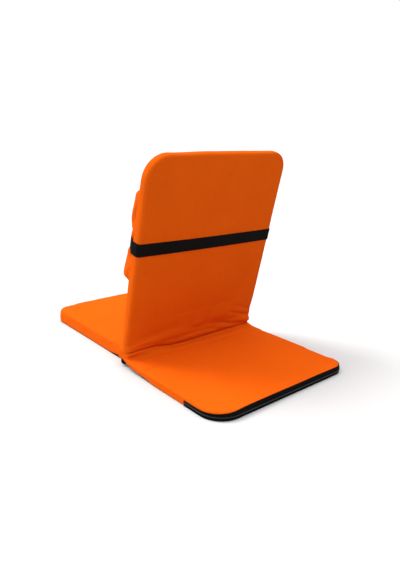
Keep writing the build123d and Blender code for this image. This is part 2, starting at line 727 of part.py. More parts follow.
WEB_LOW = 40.0
WEB_MARGIN = 12.0
with BuildPart() as back_support_web:
    with BuildSketch(BACK_FACE.offset(WEB_REAR)):
        with Locations((0, (WEB_LOW + BACK_BAR) / 2)):
            RectangleRounded(2 * LEG_X, BACK_BAR - WEB_LOW, BACK_CORNER - BACK_RIM - WEB_MARGIN)
    extrude(amount=WEB_FRONT - WEB_REAR)
save(back_support_web, "back_support_web")

# ---- rear panel and its zip ---------------------------------------------------------------------
ZIP_FRONT = TAIL_REAR - ZIP_RUN
ZIP_LOW = CLOTH + SLACK
ZIP_HIGH = ZIP_LOW + ZIP_BAND
TEETH_LOW = (ZIP_LOW + ZIP_HIGH - TEETH) / 2
TEETH_HIGH = TEETH_LOW + TEETH
ZIP_WALL = ZIP_RECESS + CLOTH + TURN_GAP  # inset of the cover's wall behind the tape


def zip_ring(outer_inset, inner_inset, low, high, front=ZIP_FRONT):
    """A band that follows the rear panel's edge, round its rear only."""
    reach = 2 * TAIL_LENGTH
    with BuildPart() as band:
        with BuildSketch(Plane.XY.offset(low)):
            add(tail_outline(outer_inset))
            add(tail_outline(inner_inset), mode=Mode.SUBTRACT)
            with Locations((0, front - reach / 2)):
                Rectangle(2 * TAIL_WIDTH, reach, mode=Mode.SUBTRACT)
        extrude(amount=high - low)
    return band.part


with BuildPart() as tail_hollow:
    add(tail_block(CLOTH, -CLOTH))
    add(zip_ring(-1, ZIP_WALL + CLOTH, -CLOTH, ZIP_HIGH + CLOTH + SLACK, ZIP_FRONT - CLOTH - SLACK),
        mode=Mode.SUBTRACT)

with BuildPart() as tail_cover:
    add(tail_block(0, CLOTH))
    add(tail_hollow.part, mode=Mode.SUBTRACT)
    add(zip_ring(-1, ZIP_WALL, 0, ZIP_HIGH + SLACK, ZIP_FRONT - SLACK), mode=Mode.SUBTRACT)
    add(tail_relief(CLOTH), mode=Mode.SUBTRACT)
    add(TAIL_NOTCH, mode=Mode.SUBTRACT)
save(tail_cover, "tail_cover")

with BuildPart() as tail_foam:
    add(tail_block(CLOTH + SLACK, CLOTH + SLACK / 3))
    add(
        zip_ring(-1, ZIP_WALL + CLOTH + SLACK, 0, ZIP_HIGH + CLOTH + 2 * SLACK,
                 ZIP_FRONT - CLOTH - 2 * SLACK),
        mode=Mode.SUBTRACT,
    )
    add(tail_relief(CLOTH + SLACK / 3), mode=Mode.SUBTRACT)
    add(rod(tail_path(), TUBE_RADIUS + SLACK), mode=Mode.SUBTRACT)
    add(tie_bar((TAIL_TIE_Y, TAIL_PIVOT_Z), TIE_TUBE / 2 + SLACK, LEG_X), mode=Mode.SUBTRACT)
    add(TAIL_NOTCH, mode=Mode.SUBTRACT)
save(tail_foam, "tail_foam")


def step_web():
    """Upright bit of base cloth between the part under the legs and the part between them."""
    start = TAIL_PIVOT[0] + RELIEF_RUN
    run = start - TAIL_FRONT
    with BuildPart() as made:
        with BuildSketch(Plane.YZ.offset(RELIEF_HALF)):
            with BuildLine():
                Polyline(
                    (start, 0), (TAIL_FRONT, STRIP_SLOPE * run),
                    (TAIL_FRONT, RELIEF_SLOPE * run + CLOTH), (start, CLOTH),
                    close=True,
                )
            make_face()
        extrude(amount=CLOTH)
    return made.part


with BuildPart() as tail_base_sheet:
    with BuildSketch(Plane.YZ.offset(-RELIEF_HALF)):
        add(base_profile(1, RELIEF_SLOPE, TAIL_REAR, TAIL_FRONT))
    extrude(amount=2 * RELIEF_HALF)
    for x_start in (-TAIL_WIDTH / 2, RELIEF_HALF):
        with BuildSketch(Plane.YZ.offset(x_start)):
            add(base_profile(1, STRIP_SLOPE, TAIL_REAR, TAIL_FRONT))
        extrude(amount=TAIL_WIDTH / 2 - RELIEF_HALF)
    add(both_sides(step_web()))

with BuildPart() as tail_base_cloth:
    with BuildSketch():
        add(tail_outline(CLOTH))
    extrude(amount=TAIL_THICKNESS)
    add(tail_base_sheet.part, mode=Mode.INTERSECT)
save(tail_base_cloth, "tail_base_cloth")

with BuildPart() as zip_tape_lower:
    add(zip_ring(ZIP_RECESS, ZIP_RECESS + CLOTH, ZIP_LOW, TEETH_LOW - TURN_GAP))
save(zip_tape_lower, "zip_tape_lower")

with BuildPart() as zip_tape_upper:
    add(zip_ring(ZIP_RECESS, ZIP_RECESS + CLOTH, TEETH_HIGH + TURN_GAP, ZIP_HIGH))
save(zip_tape_upper, "zip_tape_upper")

with BuildPart() as zip_teeth:
    add(zip_ring(ZIP_RECESS - TEETH_PROUD, ZIP_RECESS + CLOTH, TEETH_LOW, TEETH_HIGH))
save(zip_teeth, "zip_teeth")

TEETH_FACE = TAIL_WIDTH / 2 - ZIP_RECESS + TEETH_PROUD  # outer face of the teeth, from the middle
with BuildPart() as zip_stops:
    with BuildSketch(Plane.XY.offset(TEETH_LOW)):
        with Locations((TEETH_FACE + TURN_GAP + ZIP_STOP_PROUD / 2, ZIP_FRONT + ZIP_STOP)):
            Rectangle(ZIP_STOP_PROUD, ZIP_STOP)
    extrude(amount=TEETH)
    mirror(about=Plane.YZ)
save(zip_stops, "zip_stops")

# slider on the right-hand side, closed, with its pull lying back along the teeth
SLIDER_FRONT = ZIP_FRONT + 2 * ZIP_STOP + FACE_GAP
SLIDER_Z = (TEETH_LOW + TEETH_HIGH) / 2
SLIDER_FACE = TEETH_FACE + SLACK
LUG_LOW = SLIDER_Z - EYE_HEIGHT / 2 - LUG_GAP - LUG
PIN_X = -(SLIDER_FACE + EYE_RADIUS)
PIN_Y = SLIDER_FRONT + SLIDER + EYE_RADIUS + LUG_GAP
PULL_START = PIN_Y + EYE_RADIUS + PULL_NECK

with BuildPart() as zip_slider:
    with BuildSketch(Plane.XY.offset(SLIDER_Z - SLIDER_HEIGHT / 2)):
        with Locations((-(SLIDER_FACE + SLIDER_THICKNESS / 2), SLIDER_FRONT + SLIDER / 2)):
            Rectangle(SLIDER_THICKNESS, SLIDER)
    extrude(amount=SLIDER_HEIGHT)
    fillet(zip_slider.edges().filter_by(Axis.X), SLIDER_HEIGHT / 5)
    for low in (LUG_LOW, SLIDER_Z + EYE_HEIGHT / 2 + LUG_GAP):
        with BuildSketch(Plane.XY.offset(low)):
            with Locations((PIN_X, SLIDER_FRONT + SLIDER + LUG_DEPTH / 2)):
                Rectangle(LUG_DEPTH, LUG_LENGTH)
        extrude(amount=LUG)
    with BuildSketch(Plane.XY.offset(LUG_LOW)):
        with Locations((PIN_X, PIN_Y)):
            Circle(PULL_PIN / 2)
    extrude(amount=EYE_HEIGHT + 2 * LUG_GAP + 2 * LUG)
save(zip_slider, "zip_slider")

with BuildPart() as zip_pull:
    with BuildSketch(Plane.XY.offset(SLIDER_Z - EYE_HEIGHT / 2)):
        with Locations((PIN_X, PIN_Y)):
            Circle(EYE_RADIUS)
        with Locations((PIN_X, PULL_START - PULL_NECK / 2)):
            Rectangle(PULL_THICKNESS, 2 * PULL_NECK)
        with Locations((PIN_X, PIN_Y)):
            Circle(PULL_PIN / 2 + TURN_GAP, mode=Mode.SUBTRACT)
    extrude(amount=EYE_HEIGHT)
    with BuildSketch(Plane.YZ.offset(PIN_X - PULL_THICKNESS / 2)):
        with Locations((PULL_START + PULL_LENGTH / 2, SLIDER_Z)):
            RectangleRounded(PULL_LENGTH, PULL_HEIGHT, PULL_HEIGHT * 0.4)
        with Locations((PULL_START + PULL_LENGTH - PULL_HEIGHT * 0.7, SLIDER_Z)):
            Circle(PULL_HOLE, mode=Mode.SUBTRACT)
    extrude(amount=PULL_THICKNESS)
save(zip_pull, "zip_pull")

# ---- lumbar cushion and strap -------------------------------------------------------------------
LUMBAR_BASE = HALF_BACK + BACK_CROWN + SLACK
LUMBAR_HIGH = LUMBAR_LOW + LUMBAR_HEIGHT
WAIST = HALF_BACK + LUMBAR_WAIST
STRAP_LOW = STRAP_HEIGHT - STRAP_WIDTH / 2
STRAP_HIGH = STRAP_HEIGHT + STRAP_WIDTH / 2


def bulged(start, end, height):
    """Arc from start to end whose middle stands out to the left of the chord by height."""
    chord = Vector(*end) - Vector(*start)
    outward = Vector(-chord.Y, chord.X).normalized()
    middle = (Vector(*start) + Vector(*end)) * 0.5 + outward * height
    return ThreePointArc(start, (middle.X, middle.Y), end)


def cushion_side(inset):
    """The cushion from the side: two lobes with a waist under the strap."""
    with BuildSketch() as shape:
        with BuildLine():
            low, high = (LUMBAR_LOW, LUMBAR_BASE), (LUMBAR_HIGH, LUMBAR_BASE)
            lower_peak = (LUMBAR_LOW + LUMBAR_LOWER_RUN, HALF_BACK + LUMBAR_LOWER_LOBE)
            upper_peak = (LUMBAR_HIGH - LUMBAR_UPPER_RUN, HALF_BACK + LUMBAR_UPPER_LOBE)
            waist_low, waist_high = (STRAP_LOW, WAIST), (STRAP_HIGH, WAIST)
            bulged(low, lower_peak, LUMBAR_EDGE_BULGE)
            bulged(lower_peak, waist_low, LUMBAR_LOBE_BULGE)
            Line(waist_low, waist_high)
            bulged(waist_high, upper_peak, LUMBAR_LOBE_BULGE)
            bulged(upper_peak, high, LUMBAR_EDGE_BULGE)
            Line(high, low)
        make_face()
        if inset:
            offset(amount=-inset)
    return shape.sketch


def cushion_crown(inset):
    """The cushion from above: full in the middle, falling to its rounded ends."""
    end = LUMBAR_WIDTH / 2
    shoulder = end - LUMBAR_END_RUN
    depth = -HALF_BACK - LUMBAR_END
    with BuildSketch() as shape:
        with BuildLine():
            bulged((end, -LUMBAR_BASE), (shoulder, depth), -LUMBAR_END_BULGE)
            ThreePointArc((shoulder, depth), (0, -HALF_BACK - LUMBAR_MIDDLE), (-shoulder, depth))
            bulged((-shoulder, depth), (-end, -LUMBAR_BASE), -LUMBAR_END_BULGE)
            Line((-end, -LUMBAR_BASE), (end, -LUMBAR_BASE))
        make_face()
        if inset:
            offset(amount=-inset)
    return shape.sketch


def strap_loop(grow):
    """The strap's loop from above: round the backrest, then slanting in over the cushion."""
    side = BACK_WIDTH / 2 + STRAP_GAP + grow
    rear = HALF_BACK + STRAP_GAP + grow
    shoulder = LUMBAR_WIDTH / 2 - STRAP_SHOULDER + grow
    pinch = -HALF_BACK - LUMBAR_PINCH - STRAP_GAP - grow
    with BuildSketch() as shape:
        with BuildLine():
            Polyline(
                (-shoulder, pinch), (-side, -HALF_BACK + 1), (-side, rear),
                (side, rear), (side, -HALF_BACK + 1), (shoulder, pinch),
            )
            ThreePointArc((shoulder, pinch), (0, -WAIST - STRAP_GAP - grow), (-shoulder, pinch))
        make_face()
        fillet(shape.vertices().group_by(Axis.Y)[-1], BACK_REAR_EDGE + grow)
        fillet(shape.vertices().group_by(Axis.Y)[0], STRAP_BEND + grow)
    return shape.sketch


def strap_dent(inset):
    """What the strap squeezes out of the cushion, mostly at its ends."""
    height = STRAP_WIDTH + 2 * (STRAP_DENT + inset)
    with BuildPart() as made:
        with BuildSketch(back_level(STRAP_HEIGHT - height / 2)):
            Rectangle(2 * BACK_WIDTH, 2 * BACK_WIDTH)
            add(strap_loop(-STRAP_GAP - inset), mode=Mode.SUBTRACT)
        extrude(amount=height)
    return made.part


def lumbar_block(inset):
    """The lumbar cushion's solid: its face, its side view and its crown, each cut by the others."""
    with BuildPart() as block:
        with BuildSketch(BACK_FACE.offset(LUMBAR_BASE + inset)):
            add(
                pad_outline(
                    LUMBAR_WIDTH / 2, LUMBAR_LOW, LUMBAR_HIGH, LUMBAR_CORNER, LUMBAR_CORNER,
                    LUMBAR_DRAW_IN, inset,
                )
            )
        extrude(amount=2 * LUMBAR_MIDDLE)
        with BuildSketch(BACK_SIDE):
            add(cushion_side(inset))
        extrude(amount=LUMBAR_WIDTH, both=True, mode=Mode.INTERSECT)
        with BuildSketch(back_level(LUMBAR_LOW)):
            add(cushion_crown(inset))
        extrude(amount=LUMBAR_HEIGHT, mode=Mode.INTERSECT)
        add(strap_dent(inset), mode=Mode.SUBTRACT)
    return block.part


with BuildPart() as lumbar_cover:
    add(lumbar_block(0))
    add(lumbar_block(CLOTH), mode=Mode.SUBTRACT)
save(lumbar_cover, "lumbar_cover")

with BuildPart() as lumbar_foam:
    add(lumbar_block(CLOTH + SLACK))
save(lumbar_foam, "lumbar_foam")


with BuildPart() as elastic_strap:
    with BuildSketch(back_level(STRAP_LOW)):
        add(strap_loop(STRAP_THICKNESS))
        add(strap_loop(0), mode=Mode.SUBTRACT)
    extrude(amount=STRAP_WIDTH)
save(elastic_strap, "elastic_strap")

# ---- cloth across the hinge line ----------------------------------------------------------------
GUSSET_HALF = POCKET_IN - 2.0


def on_back(up, front):
    """(y, z) of a point given up the backrest from its pivot and to its front."""
    spot = BACK_ORIGIN + UP_BACK * up + FRONT_OF_BACK * front
    return (spot.Y, spot.Z)


with BuildPart() as front_gusset:
    seat_top = SEAT_THICKNESS + SEAT_CROWN / 2 + CLOTH / 2
    add(
        cloth_strip(
            [
                (SEAT_REAR - FRONT_LAP, seat_top),
                (SEAT_REAR + CLOTH / 2, seat_top - CLOTH),
                on_back(-FRONT_LAP / 6, HALF_BACK - 4.6),
                on_back(FRONT_LAP, HALF_BACK - 0.8),
            ],
            2.5 * CLOTH,
            GUSSET_HALF,
        )
    )
save(front_gusset, "front_gusset")

REAR_FACE = -HALF_BACK - GUSSET_OFF
TAIL_TOP = TAIL_THICKNESS + TAIL_CROWN
SEAM = (HINGE_Y + SEAM_SET, TAIL_TOP + SEAM_RISE)
with BuildPart() as rear_gusset_upper:
    add(
        cloth_strip(
            [on_back(GUSSET_UP, REAR_FACE), on_back(-GUSSET_FREE, REAR_FACE), SEAM], 8.0, GUSSET_HALF
        )
    )
save(rear_gusset_upper, "rear_gusset_upper")

with BuildPart() as rear_gusset_lower:
    add(
        cloth_strip(
            [
                (SEAM[0], SEAM[1] - CLOTH),
                (SEAM[0] + GUSSET_RUN / 8, TAIL_TOP + SEAM_RISE * 0.45),
                (SEAM[0] + GUSSET_RUN / 2, TAIL_TOP + GUSSET_OFF),
                (SEAM[0] + GUSSET_RUN, TAIL_TOP + GUSSET_OFF),
            ],
            2.5 * CLOTH,
            GUSSET_HALF,
        )
    )
save(rear_gusset_lower, "rear_gusset_lower")

BRIDGE_Z = RELIEF_SLOPE * (RELIEF_RUN - SEAT_END) + CLOTH / 2
with BuildPart() as base_bridge:
    add(
        cloth_strip(
            [
                (SEAT_REAR + SLACK, BRIDGE_Z),
                (TAIL_PIVOT[0], BRIDGE_Z + BRIDGE_SAG),
                (TAIL_FRONT - SLACK, BRIDGE_Z),
            ],
            10 * CLOTH,
            GUSSET_HALF,
        )
    )
save(base_bridge, "base_bridge")

print(f"back pivot (0, {BACK_PIVOT[0]:.3f}, {BACK_PIVOT[1]:.3f}), folds {BACK_FOLD:.2f} degrees")
print(f"tail pivot (0, {TAIL_PIVOT[0]:.3f}, {TAIL_PIVOT[1]:.3f}), folds {TAIL_FOLD:.2f} degrees")
print(f"pull pin ({PIN_X:.3f}, {PIN_Y:.3f}, {SLIDER_Z:.3f})")
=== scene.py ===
import math

import bpy
import numpy as np
from mathutils import Matrix, Vector, noise


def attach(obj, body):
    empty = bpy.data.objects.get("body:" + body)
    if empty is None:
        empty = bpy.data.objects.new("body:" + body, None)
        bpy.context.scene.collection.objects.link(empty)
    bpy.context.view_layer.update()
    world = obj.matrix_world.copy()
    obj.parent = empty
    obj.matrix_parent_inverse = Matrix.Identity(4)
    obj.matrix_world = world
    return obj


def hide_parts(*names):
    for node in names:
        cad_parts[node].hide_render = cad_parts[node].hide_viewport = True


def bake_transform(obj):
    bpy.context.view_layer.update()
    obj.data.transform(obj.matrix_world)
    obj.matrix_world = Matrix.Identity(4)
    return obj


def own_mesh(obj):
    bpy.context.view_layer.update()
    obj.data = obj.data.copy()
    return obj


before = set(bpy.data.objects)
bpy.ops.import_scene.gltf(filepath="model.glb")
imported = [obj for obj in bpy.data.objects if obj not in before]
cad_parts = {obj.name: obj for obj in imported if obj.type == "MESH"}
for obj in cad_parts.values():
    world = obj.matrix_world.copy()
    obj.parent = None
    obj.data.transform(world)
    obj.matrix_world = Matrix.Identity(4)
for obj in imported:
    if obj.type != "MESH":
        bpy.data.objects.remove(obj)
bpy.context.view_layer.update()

MM = 0.001
HINGE_Y = 28.5  # the line at which the three panels meet
LEAN = math.radians(13.0)
BACK_PIVOT = np.array([0.0, HINGE_Y + 8.3, 56.0])
TAIL_PIVOT = np.array([0.0, HINGE_Y + 2.0, 13.0])
ACROSS = np.array([1.0, 0.0, 0.0])
UP_BACK = np.array([0.0, math.sin(LEAN), math.cos(LEAN)])
FRONT = np.array([0.0, -math.cos(LEAN), math.sin(LEAN)])
SEAT_HALF, BACK_HALF, TAIL_HALF = 214.0, 236.0, 237.0  # half-widths of the three pads


def on_floor(p):
    """A point (across, along +Y, up), as it is."""
    return np.asarray(p, float)


def on_back(p):
    """The place of (across, up the backrest from its pivot, to its front)."""
    p = np.asarray(p, float)
    return BACK_PIVOT + p[..., :1] * ACROSS + p[..., 1:2] * UP_BACK + p[..., 2:3] * FRONT


def smooth(x):
    """Rises smoothly from 0 to 1 while x goes from 0 to 1."""
    x = np.clip(x, 0.0, 1.0)
    return x * x * (3 - 2 * x)


# ---- meshes --------------------------------------------------------------------------------------
def make_object(name, points, faces, uv=None, attributes=None, subdivide=0):
    """A smooth-shaded mesh object from points in millimetres."""
    mesh = bpy.data.meshes.new(name)
    mesh.from_pydata((np.asarray(points) * MM).tolist(), [], faces)
    mesh.validate()
    mesh.update()
    mesh.polygons.foreach_set("use_smooth", [True] * len(mesh.polygons))
    if uv is not None:
        layer = mesh.uv_layers.new(name="UVMap")
        loops = np.zeros(len(mesh.loops), int)
        mesh.loops.foreach_get("vertex_index", loops)
        layer.data.foreach_set("uv", (np.asarray(uv) * MM)[loops].astype(np.float32).ravel())
    for key, values in (attributes or {}).items():
        layer = mesh.attributes.new(key, "FLOAT", "POINT")
        layer.data.foreach_set("value", np.asarray(values, np.float32))
    made = bpy.data.objects.new(name, mesh)
    bpy.context.scene.collection.objects.link(made)
    if subdivide:
        sub = made.modifiers.new("smooth", "SUBSURF")
        sub.levels = sub.render_levels = subdivide
        sub.uv_smooth = "PRESERVE_BOUNDARIES"
    return made


def outline(half, low, high, r_low, r_high, pull, nx, ny):
    """A rounded rectangle that reaches half to either side, and from low to high along the chair,
    as nx + ny + nx + ny even steps from the middle of its low-left corner, anticlockwise. r_low is
    the radius of its low corners, r_high has those of the high corners on the chair's right and
    left, and pull is how far its sides are drawn in between the corners. Returns points, normals
    and lengths."""
    fine = []
    steps = 24  # in a corner's quarter turn
    r_right, r_left = r_high
    corners = (
        ((half - r_low, low + r_low), r_low, -90),
        ((half - r_right, high - r_right), r_right, 0),
        ((-half + r_left, high - r_left), r_left, 90),
        ((-half + r_low, low + r_low), r_low, 180),
    )
    marks = []  # the corners' middles
    for (cx, cy), r, start in corners:
        for k in range(steps + 1):
            a = math.radians(start + 90 * k / steps)
            if k == steps // 2:
                marks.append(len(fine))
            fine.append((cx + r * math.cos(a), cy + r * math.sin(a), math.cos(a), math.sin(a)))
    fine = np.array(fine)
    fine = np.roll(fine, -marks[3], axis=0)  # starts in the low-left corner
    fine = np.vstack([fine, fine[:1]])
    length = np.concatenate([[0], np.cumsum(np.hypot(*np.diff(fine[:, :2], axis=0).T))])
    stops = [0] + [length[(m - marks[3]) % (len(fine) - 1)] for m in marks[:3]] + [length[-1]]
    at = np.concatenate([
        np.linspace(stops[k], stops[k + 1], (nx, ny, nx, ny)[k], endpoint=False) for k in range(4)
    ])
    got = np.stack([np.interp(at, length, fine[:, c]) for c in range(4)], axis=1)
    p, n = got[:, :2], got[:, 2:]
    n = n / np.linalg.norm(n, axis=1)[:, None]
    middle, reach = (low + high) / 2, (high - low) / 2
    for axis, other, other_mid, other_span in ((0, 1, middle, reach), (1, 0, 0.0, half)):
        share = 1 - ((p[:, other] - other_mid) / other_span) ** 2
        p[:, axis] -= pull * share * n[:, axis]
    return p, n, at


def pad(name, shape, stations, top, bottom, place, cell=6.0, bulge=0.0):
    """A closed pad. shape is outline's (half, low, high, r_low, r_high, pull); stations lists
    (inset, height share, top drop, bottom rise) rings from the under face's rim to the top face's
    rim; top and bottom give each face's height over (across, along); place turns (across, along,
    height) into points; cell is the mesh's step, and bulge how far the sides stand out."""
    half, low, high = shape[:3]
    nx, ny = round(2 * half / cell), round((high - low) / cell)
    p, n, at = outline(*shape, nx, ny)
    count = len(p)
    middle = np.array([0.0, (low + high) / 2])
    rings, points, uv, edge, run = [], [], [], [], []
    walked = 0.0
    lines = []
    for inset, share, drop, rise in stations:
        q = p - n * (inset - bulge * math.sin(math.pi * share))
        hi, lo = top(q[:, 0], q[:, 1]) - drop, bottom(q[:, 0], q[:, 1]) + rise
        lines.append((q, lo + (hi - lo) * share))
    for k in range(len(lines) - 1, -1, -1):  # distance walked outwards and down from the top rim
        q, w = lines[k]
        if k < len(lines) - 1:
            q1, w1 = lines[k + 1]
            walked += float(np.mean(np.hypot(np.hypot(*(q - q1).T), w - w1)))
        rings.insert(0, walked)
    for (q, w), out in zip(lines, rings):
        points.append(np.column_stack([q, w]))
        uv.append(lines[-1][0] + n * out)
        edge.append(np.full(count, out))
        run.append(at)
    faces = []
    for k in range(len(lines) - 1):
        a, b = k * count, (k + 1) * count
        for i in range(count):
            j = (i + 1) % count
            faces.append((a + i, a + j, b + j, b + i))
    used = len(lines) * count

    def rim_index(i, j):
        """Place round the rim of a grid point on the face's border."""
        if j == 0:
            return i
        if i == nx:
            return nx + j
        if j == ny:
            return nx + ny + (nx - i)
        return (2 * nx + ny + (ny - j)) % count

    for up, height, ring in ((True, top, len(lines) - 1), (False, bottom, 0)):
        rim = lines[ring][0]
        ids = {}
        inner, inner_edge, inner_run = [], [], []
        for i in range(nx + 1):
            for j in range(ny + 1):
                if i in (0, nx) or j in (0, ny):
                    ids[i, j] = ring * count + rim_index(i, j)
                    continue
                a, b = 2 * i / nx - 1, 2 * j / ny - 1
                rho = max(abs(a), abs(b), 1e-9)
                s, t = (a / rho + 1) / 2 * nx, (b / rho + 1) / 2 * ny
                if abs(a) >= abs(b):
                    at_i, t0 = (nx if a > 0 else 0), int(min(t, ny - 1e-6))
                    i0, i1, f = rim_index(at_i, t0), rim_index(at_i, t0 + 1), t - t0
                else:
                    at_j, s0 = (ny if b > 0 else 0), int(min(s, nx - 1e-6))
                    i0, i1, f = rim_index(s0, at_j), rim_index(s0 + 1, at_j), s - s0
                border = rim[i0] * (1 - f) + rim[i1] * f
                ids[i, j] = used + len(inner)
                inner.append(middle + rho * (border - middle))
                inner_edge.append(-np.hypot(*(border - inner[-1])))
                inner_run.append(at[i0])
        inner = np.array(inner)
        points.append(np.column_stack([inner, height(inner[:, 0], inner[:, 1])]))
        uv.append(inner)
        edge.append(np.array(inner_edge) if up else rings[0] - np.array(inner_edge))
        run.append(np.array(inner_run))
        used += len(inner)
        for i in range(nx):
            for j in range(ny):
                loop = (ids[i, j], ids[i + 1, j], ids[i + 1, j + 1], ids[i, j + 1])
                faces.append(loop if up else loop[::-1])
    return make_object(
        name, place(np.vstack(points)), faces, np.vstack(uv),
        {"edge": np.concatenate(edge), "run": np.concatenate(run)}, 1,
    )


def rounded(top_radius, bottom_radius, seams=(), steps=5):
    """Stations of a pad's side: a rounded under edge, a wall with seams, and a rounded top edge."""
    got = []
    for k in range(steps + 1):
        a = math.pi / 2 * (1 - k / steps)
        got.append((bottom_radius * (1 - math.cos(a)), 0.0, 0.0,
                    bottom_radius * (1 - math.sin(a))))
    for share, depth in seams:
        got.append((depth, share, top_radius, bottom_radius))
    for k in range(steps + 1):
        a = math.pi / 2 * k / steps
        got.append((top_radius * (1 - math.cos(a)), 1.0, top_radius * (1 - math.sin(a)), 0.0))
    return got


def roughen(made, amount, scale, seed, keep=None):
    """Pushes a mesh's points along their normals by smooth noise, times keep(point)."""
    mesh = made.data
    move = np.zeros((len(mesh.vertices), 3))
    for k, v in enumerate(mesh.vertices):
        at = v.co / (scale * MM) + Vector((seed * 17.3, seed * 5.1, 0))
        push = noise.noise(at) + 0.5 * noise.noise(at * 2.3)
        if keep is not None:
            push *= keep(v.co / MM)
        move[k] = v.normal * (push * amount * MM)
    co = np.array([v.co for v in mesh.vertices]) + move
    mesh.vertices.foreach_set("co", co.astype(np.float32).ravel())
    mesh.update()


def shift(made, mover):
    """Moves a mesh's points by mover(points in millimetres)."""
    co = np.array([v.co for v in made.data.vertices])
    co += np.asarray(mover(co / MM)) * MM
    made.data.vertices.foreach_set("co", co.astype(np.float32).ravel())
    made.data.update()


def walked_along(line):
    """Length walked along a line at each of its points."""
    return np.concatenate([[0], np.cumsum(np.linalg.norm(np.diff(line, axis=0), axis=1))])


def sheet_rows(name, rows, closed=False, uv=None):
    """A cloth surface through rows of points."""
    rows = np.asarray(rows, float)
    m, n = rows.shape[:2]
    faces = []
    for i in range(m - 1):
        for j in range(n if closed else n - 1):
            k = (j + 1) % n
            faces.append((i * n + j, i * n + k, (i + 1) * n + k, (i + 1) * n + j))
    if uv is None:
        across, down = walked_along(rows[0]), walked_along(rows[:, n // 2])
        uv = np.stack(np.meshgrid(across, down), axis=-1).reshape(-1, 2)
    return make_object(name, rows.reshape(-1, 3), faces, uv, None, 1)


# ---- materials -----------------------------------------------------------------------------------
class Nodes:
    """Short-hand for making the nodes of a tree."""

    def __init__(self, tree):
        self.tree = tree

    def node(self, kind, inputs=None, **settings):
        """A new node, with its settings and with its inputs by name or number."""
        made = self.tree.nodes.new(kind)
        for key, value in settings.items():
            setattr(made, key, value)
        for key, value in (inputs or {}).items():
            self.put(made.inputs[key], value)
        return made

    def put(self, socket, value):
        """Links a socket to an output, or gives it a value."""
        if isinstance(value, bpy.types.NodeSocket):
            self.tree.links.new(value, socket)
        else:
            socket.default_value = value

    def math(self, operation, *values):
        """The output of a math node."""
        made = self.node("ShaderNodeMath", operation=operation)
        for socket, value in zip(made.inputs, values):
            self.put(socket, value)
        return made.outputs[0]

    def mix(self, share, a, b):
        """Colour a where share is 0, and b where it is 1."""
        made = self.node("ShaderNodeMix", {0: share}, data_type="RGBA")
        for socket, value in zip((made.inputs[6], made.inputs[7]), (a, b)):
            self.put(socket, value)
        return made.outputs[2]

    def looked_at(self):
        """1 for what the camera sees, also in metal or through glass, and 0 for what gives light
        to the object."""
        rays = self.node("ShaderNodeLightPath").outputs
        mirrored = self.math("MAXIMUM", rays["Is Camera Ray"], rays["Is Glossy Ray"])
        return self.math("MAXIMUM", mirrored, rays["Is Transmission Ray"])


class Shader(Nodes):
    """Short-hand for a material."""

    def __init__(self, name):
        self.material = bpy.data.materials.new(name)
        self.material.use_nodes = True
        super().__init__(self.material.node_tree)
        self.bsdf = self.tree.nodes["Principled BSDF"]

    def finish(self, **values):
        """Sets sockets of the main shader, with _ for a blank in a socket's name."""
        for key, value in values.items():
            self.put(self.bsdf.inputs[key.replace("_", " ")], value)
        return self.material


def cloth(name, colour, faded, thread=0.55, bump=0.25, stitches=(), shine=0.25):
    """Plain-woven cloth: threads both ways, uneven dye, and rows of stitches at distances from the
    edge. thread is a thread's width."""
    s = Shader(name)
    coords = s.node("ShaderNodeUVMap", uv_map="UVMap").outputs[0]
    spots = s.node("ShaderNodeTexCoord").outputs["Object"]
    split = s.node("ShaderNodeSeparateXYZ", {0: coords})
    turns = 2 * math.pi / (2 * thread * MM)
    warp = s.math("SINE", s.math("MULTIPLY", split.outputs[0], turns))
    weft = s.math("SINE", s.math("MULTIPLY", split.outputs[1], turns))
    weave = s.math("MULTIPLY", warp, weft)
    slub = s.node("ShaderNodeTexNoise", {"Vector": coords, "Scale": 900.0, "Detail": 3.0})
    dye = s.node("ShaderNodeTexNoise", {"Vector": spots, "Scale": 9.0, "Detail": 4.0})
    fine = s.node("ShaderNodeTexNoise", {"Vector": spots, "Scale": 160.0, "Detail": 3.0})
    tone = s.math("ADD", s.math("MULTIPLY", dye.outputs[0], 0.6),
                  s.math("MULTIPLY", fine.outputs[0], 0.4))
    share = s.node("ShaderNodeMapRange", {0: tone, 1: 0.35, 2: 0.65, 3: 0.0, 4: 1.0}).outputs[0]
    shade = s.mix(share, (*colour, 1), (*faded, 1))
    light = s.math("MULTIPLY_ADD", weave, 0.05, 0.97)
    lights = s.node("ShaderNodeCombineXYZ", {0: light, 1: light, 2: light}).outputs[0]
    final = s.node("ShaderNodeVectorMath", {0: shade, 1: lights}, operation="MULTIPLY").outputs[0]
    height = s.math("ADD", s.math("MULTIPLY", weave, 0.5), s.math("MULTIPLY", slub.outputs[0], 1.2))
    if stitches:
        edge = s.node("ShaderNodeAttribute", attribute_name="edge").outputs["Fac"]
        run = s.node("ShaderNodeAttribute", attribute_name="run").outputs["Fac"]
        total = None
        for place in stitches:
            near = s.math("LESS_THAN", s.math("ABSOLUTE", s.math("SUBTRACT", edge, place)), 0.45)
            dash = s.math("LESS_THAN", s.math("FRACT", s.math("DIVIDE", run, 3.6)), 0.72)
            row = s.math("MULTIPLY", near, dash)
            total = row if total is None else s.math("MAXIMUM", total, row)
        thread_colour = (*[c * 0.55 for c in colour], 1)
        final = s.mix(s.math("MULTIPLY", total, 0.45), final, thread_colour)
        height = s.math("ADD", height, s.math("MULTIPLY", total, 2.0))
    bumps = s.node("ShaderNodeBump", {"Height": height, "Strength": bump, "Distance": 0.0003})
    return s.finish(Base_Color=final, Normal=bumps.outputs[0], Roughness=0.9,
                    Specular_IOR_Level=shine)


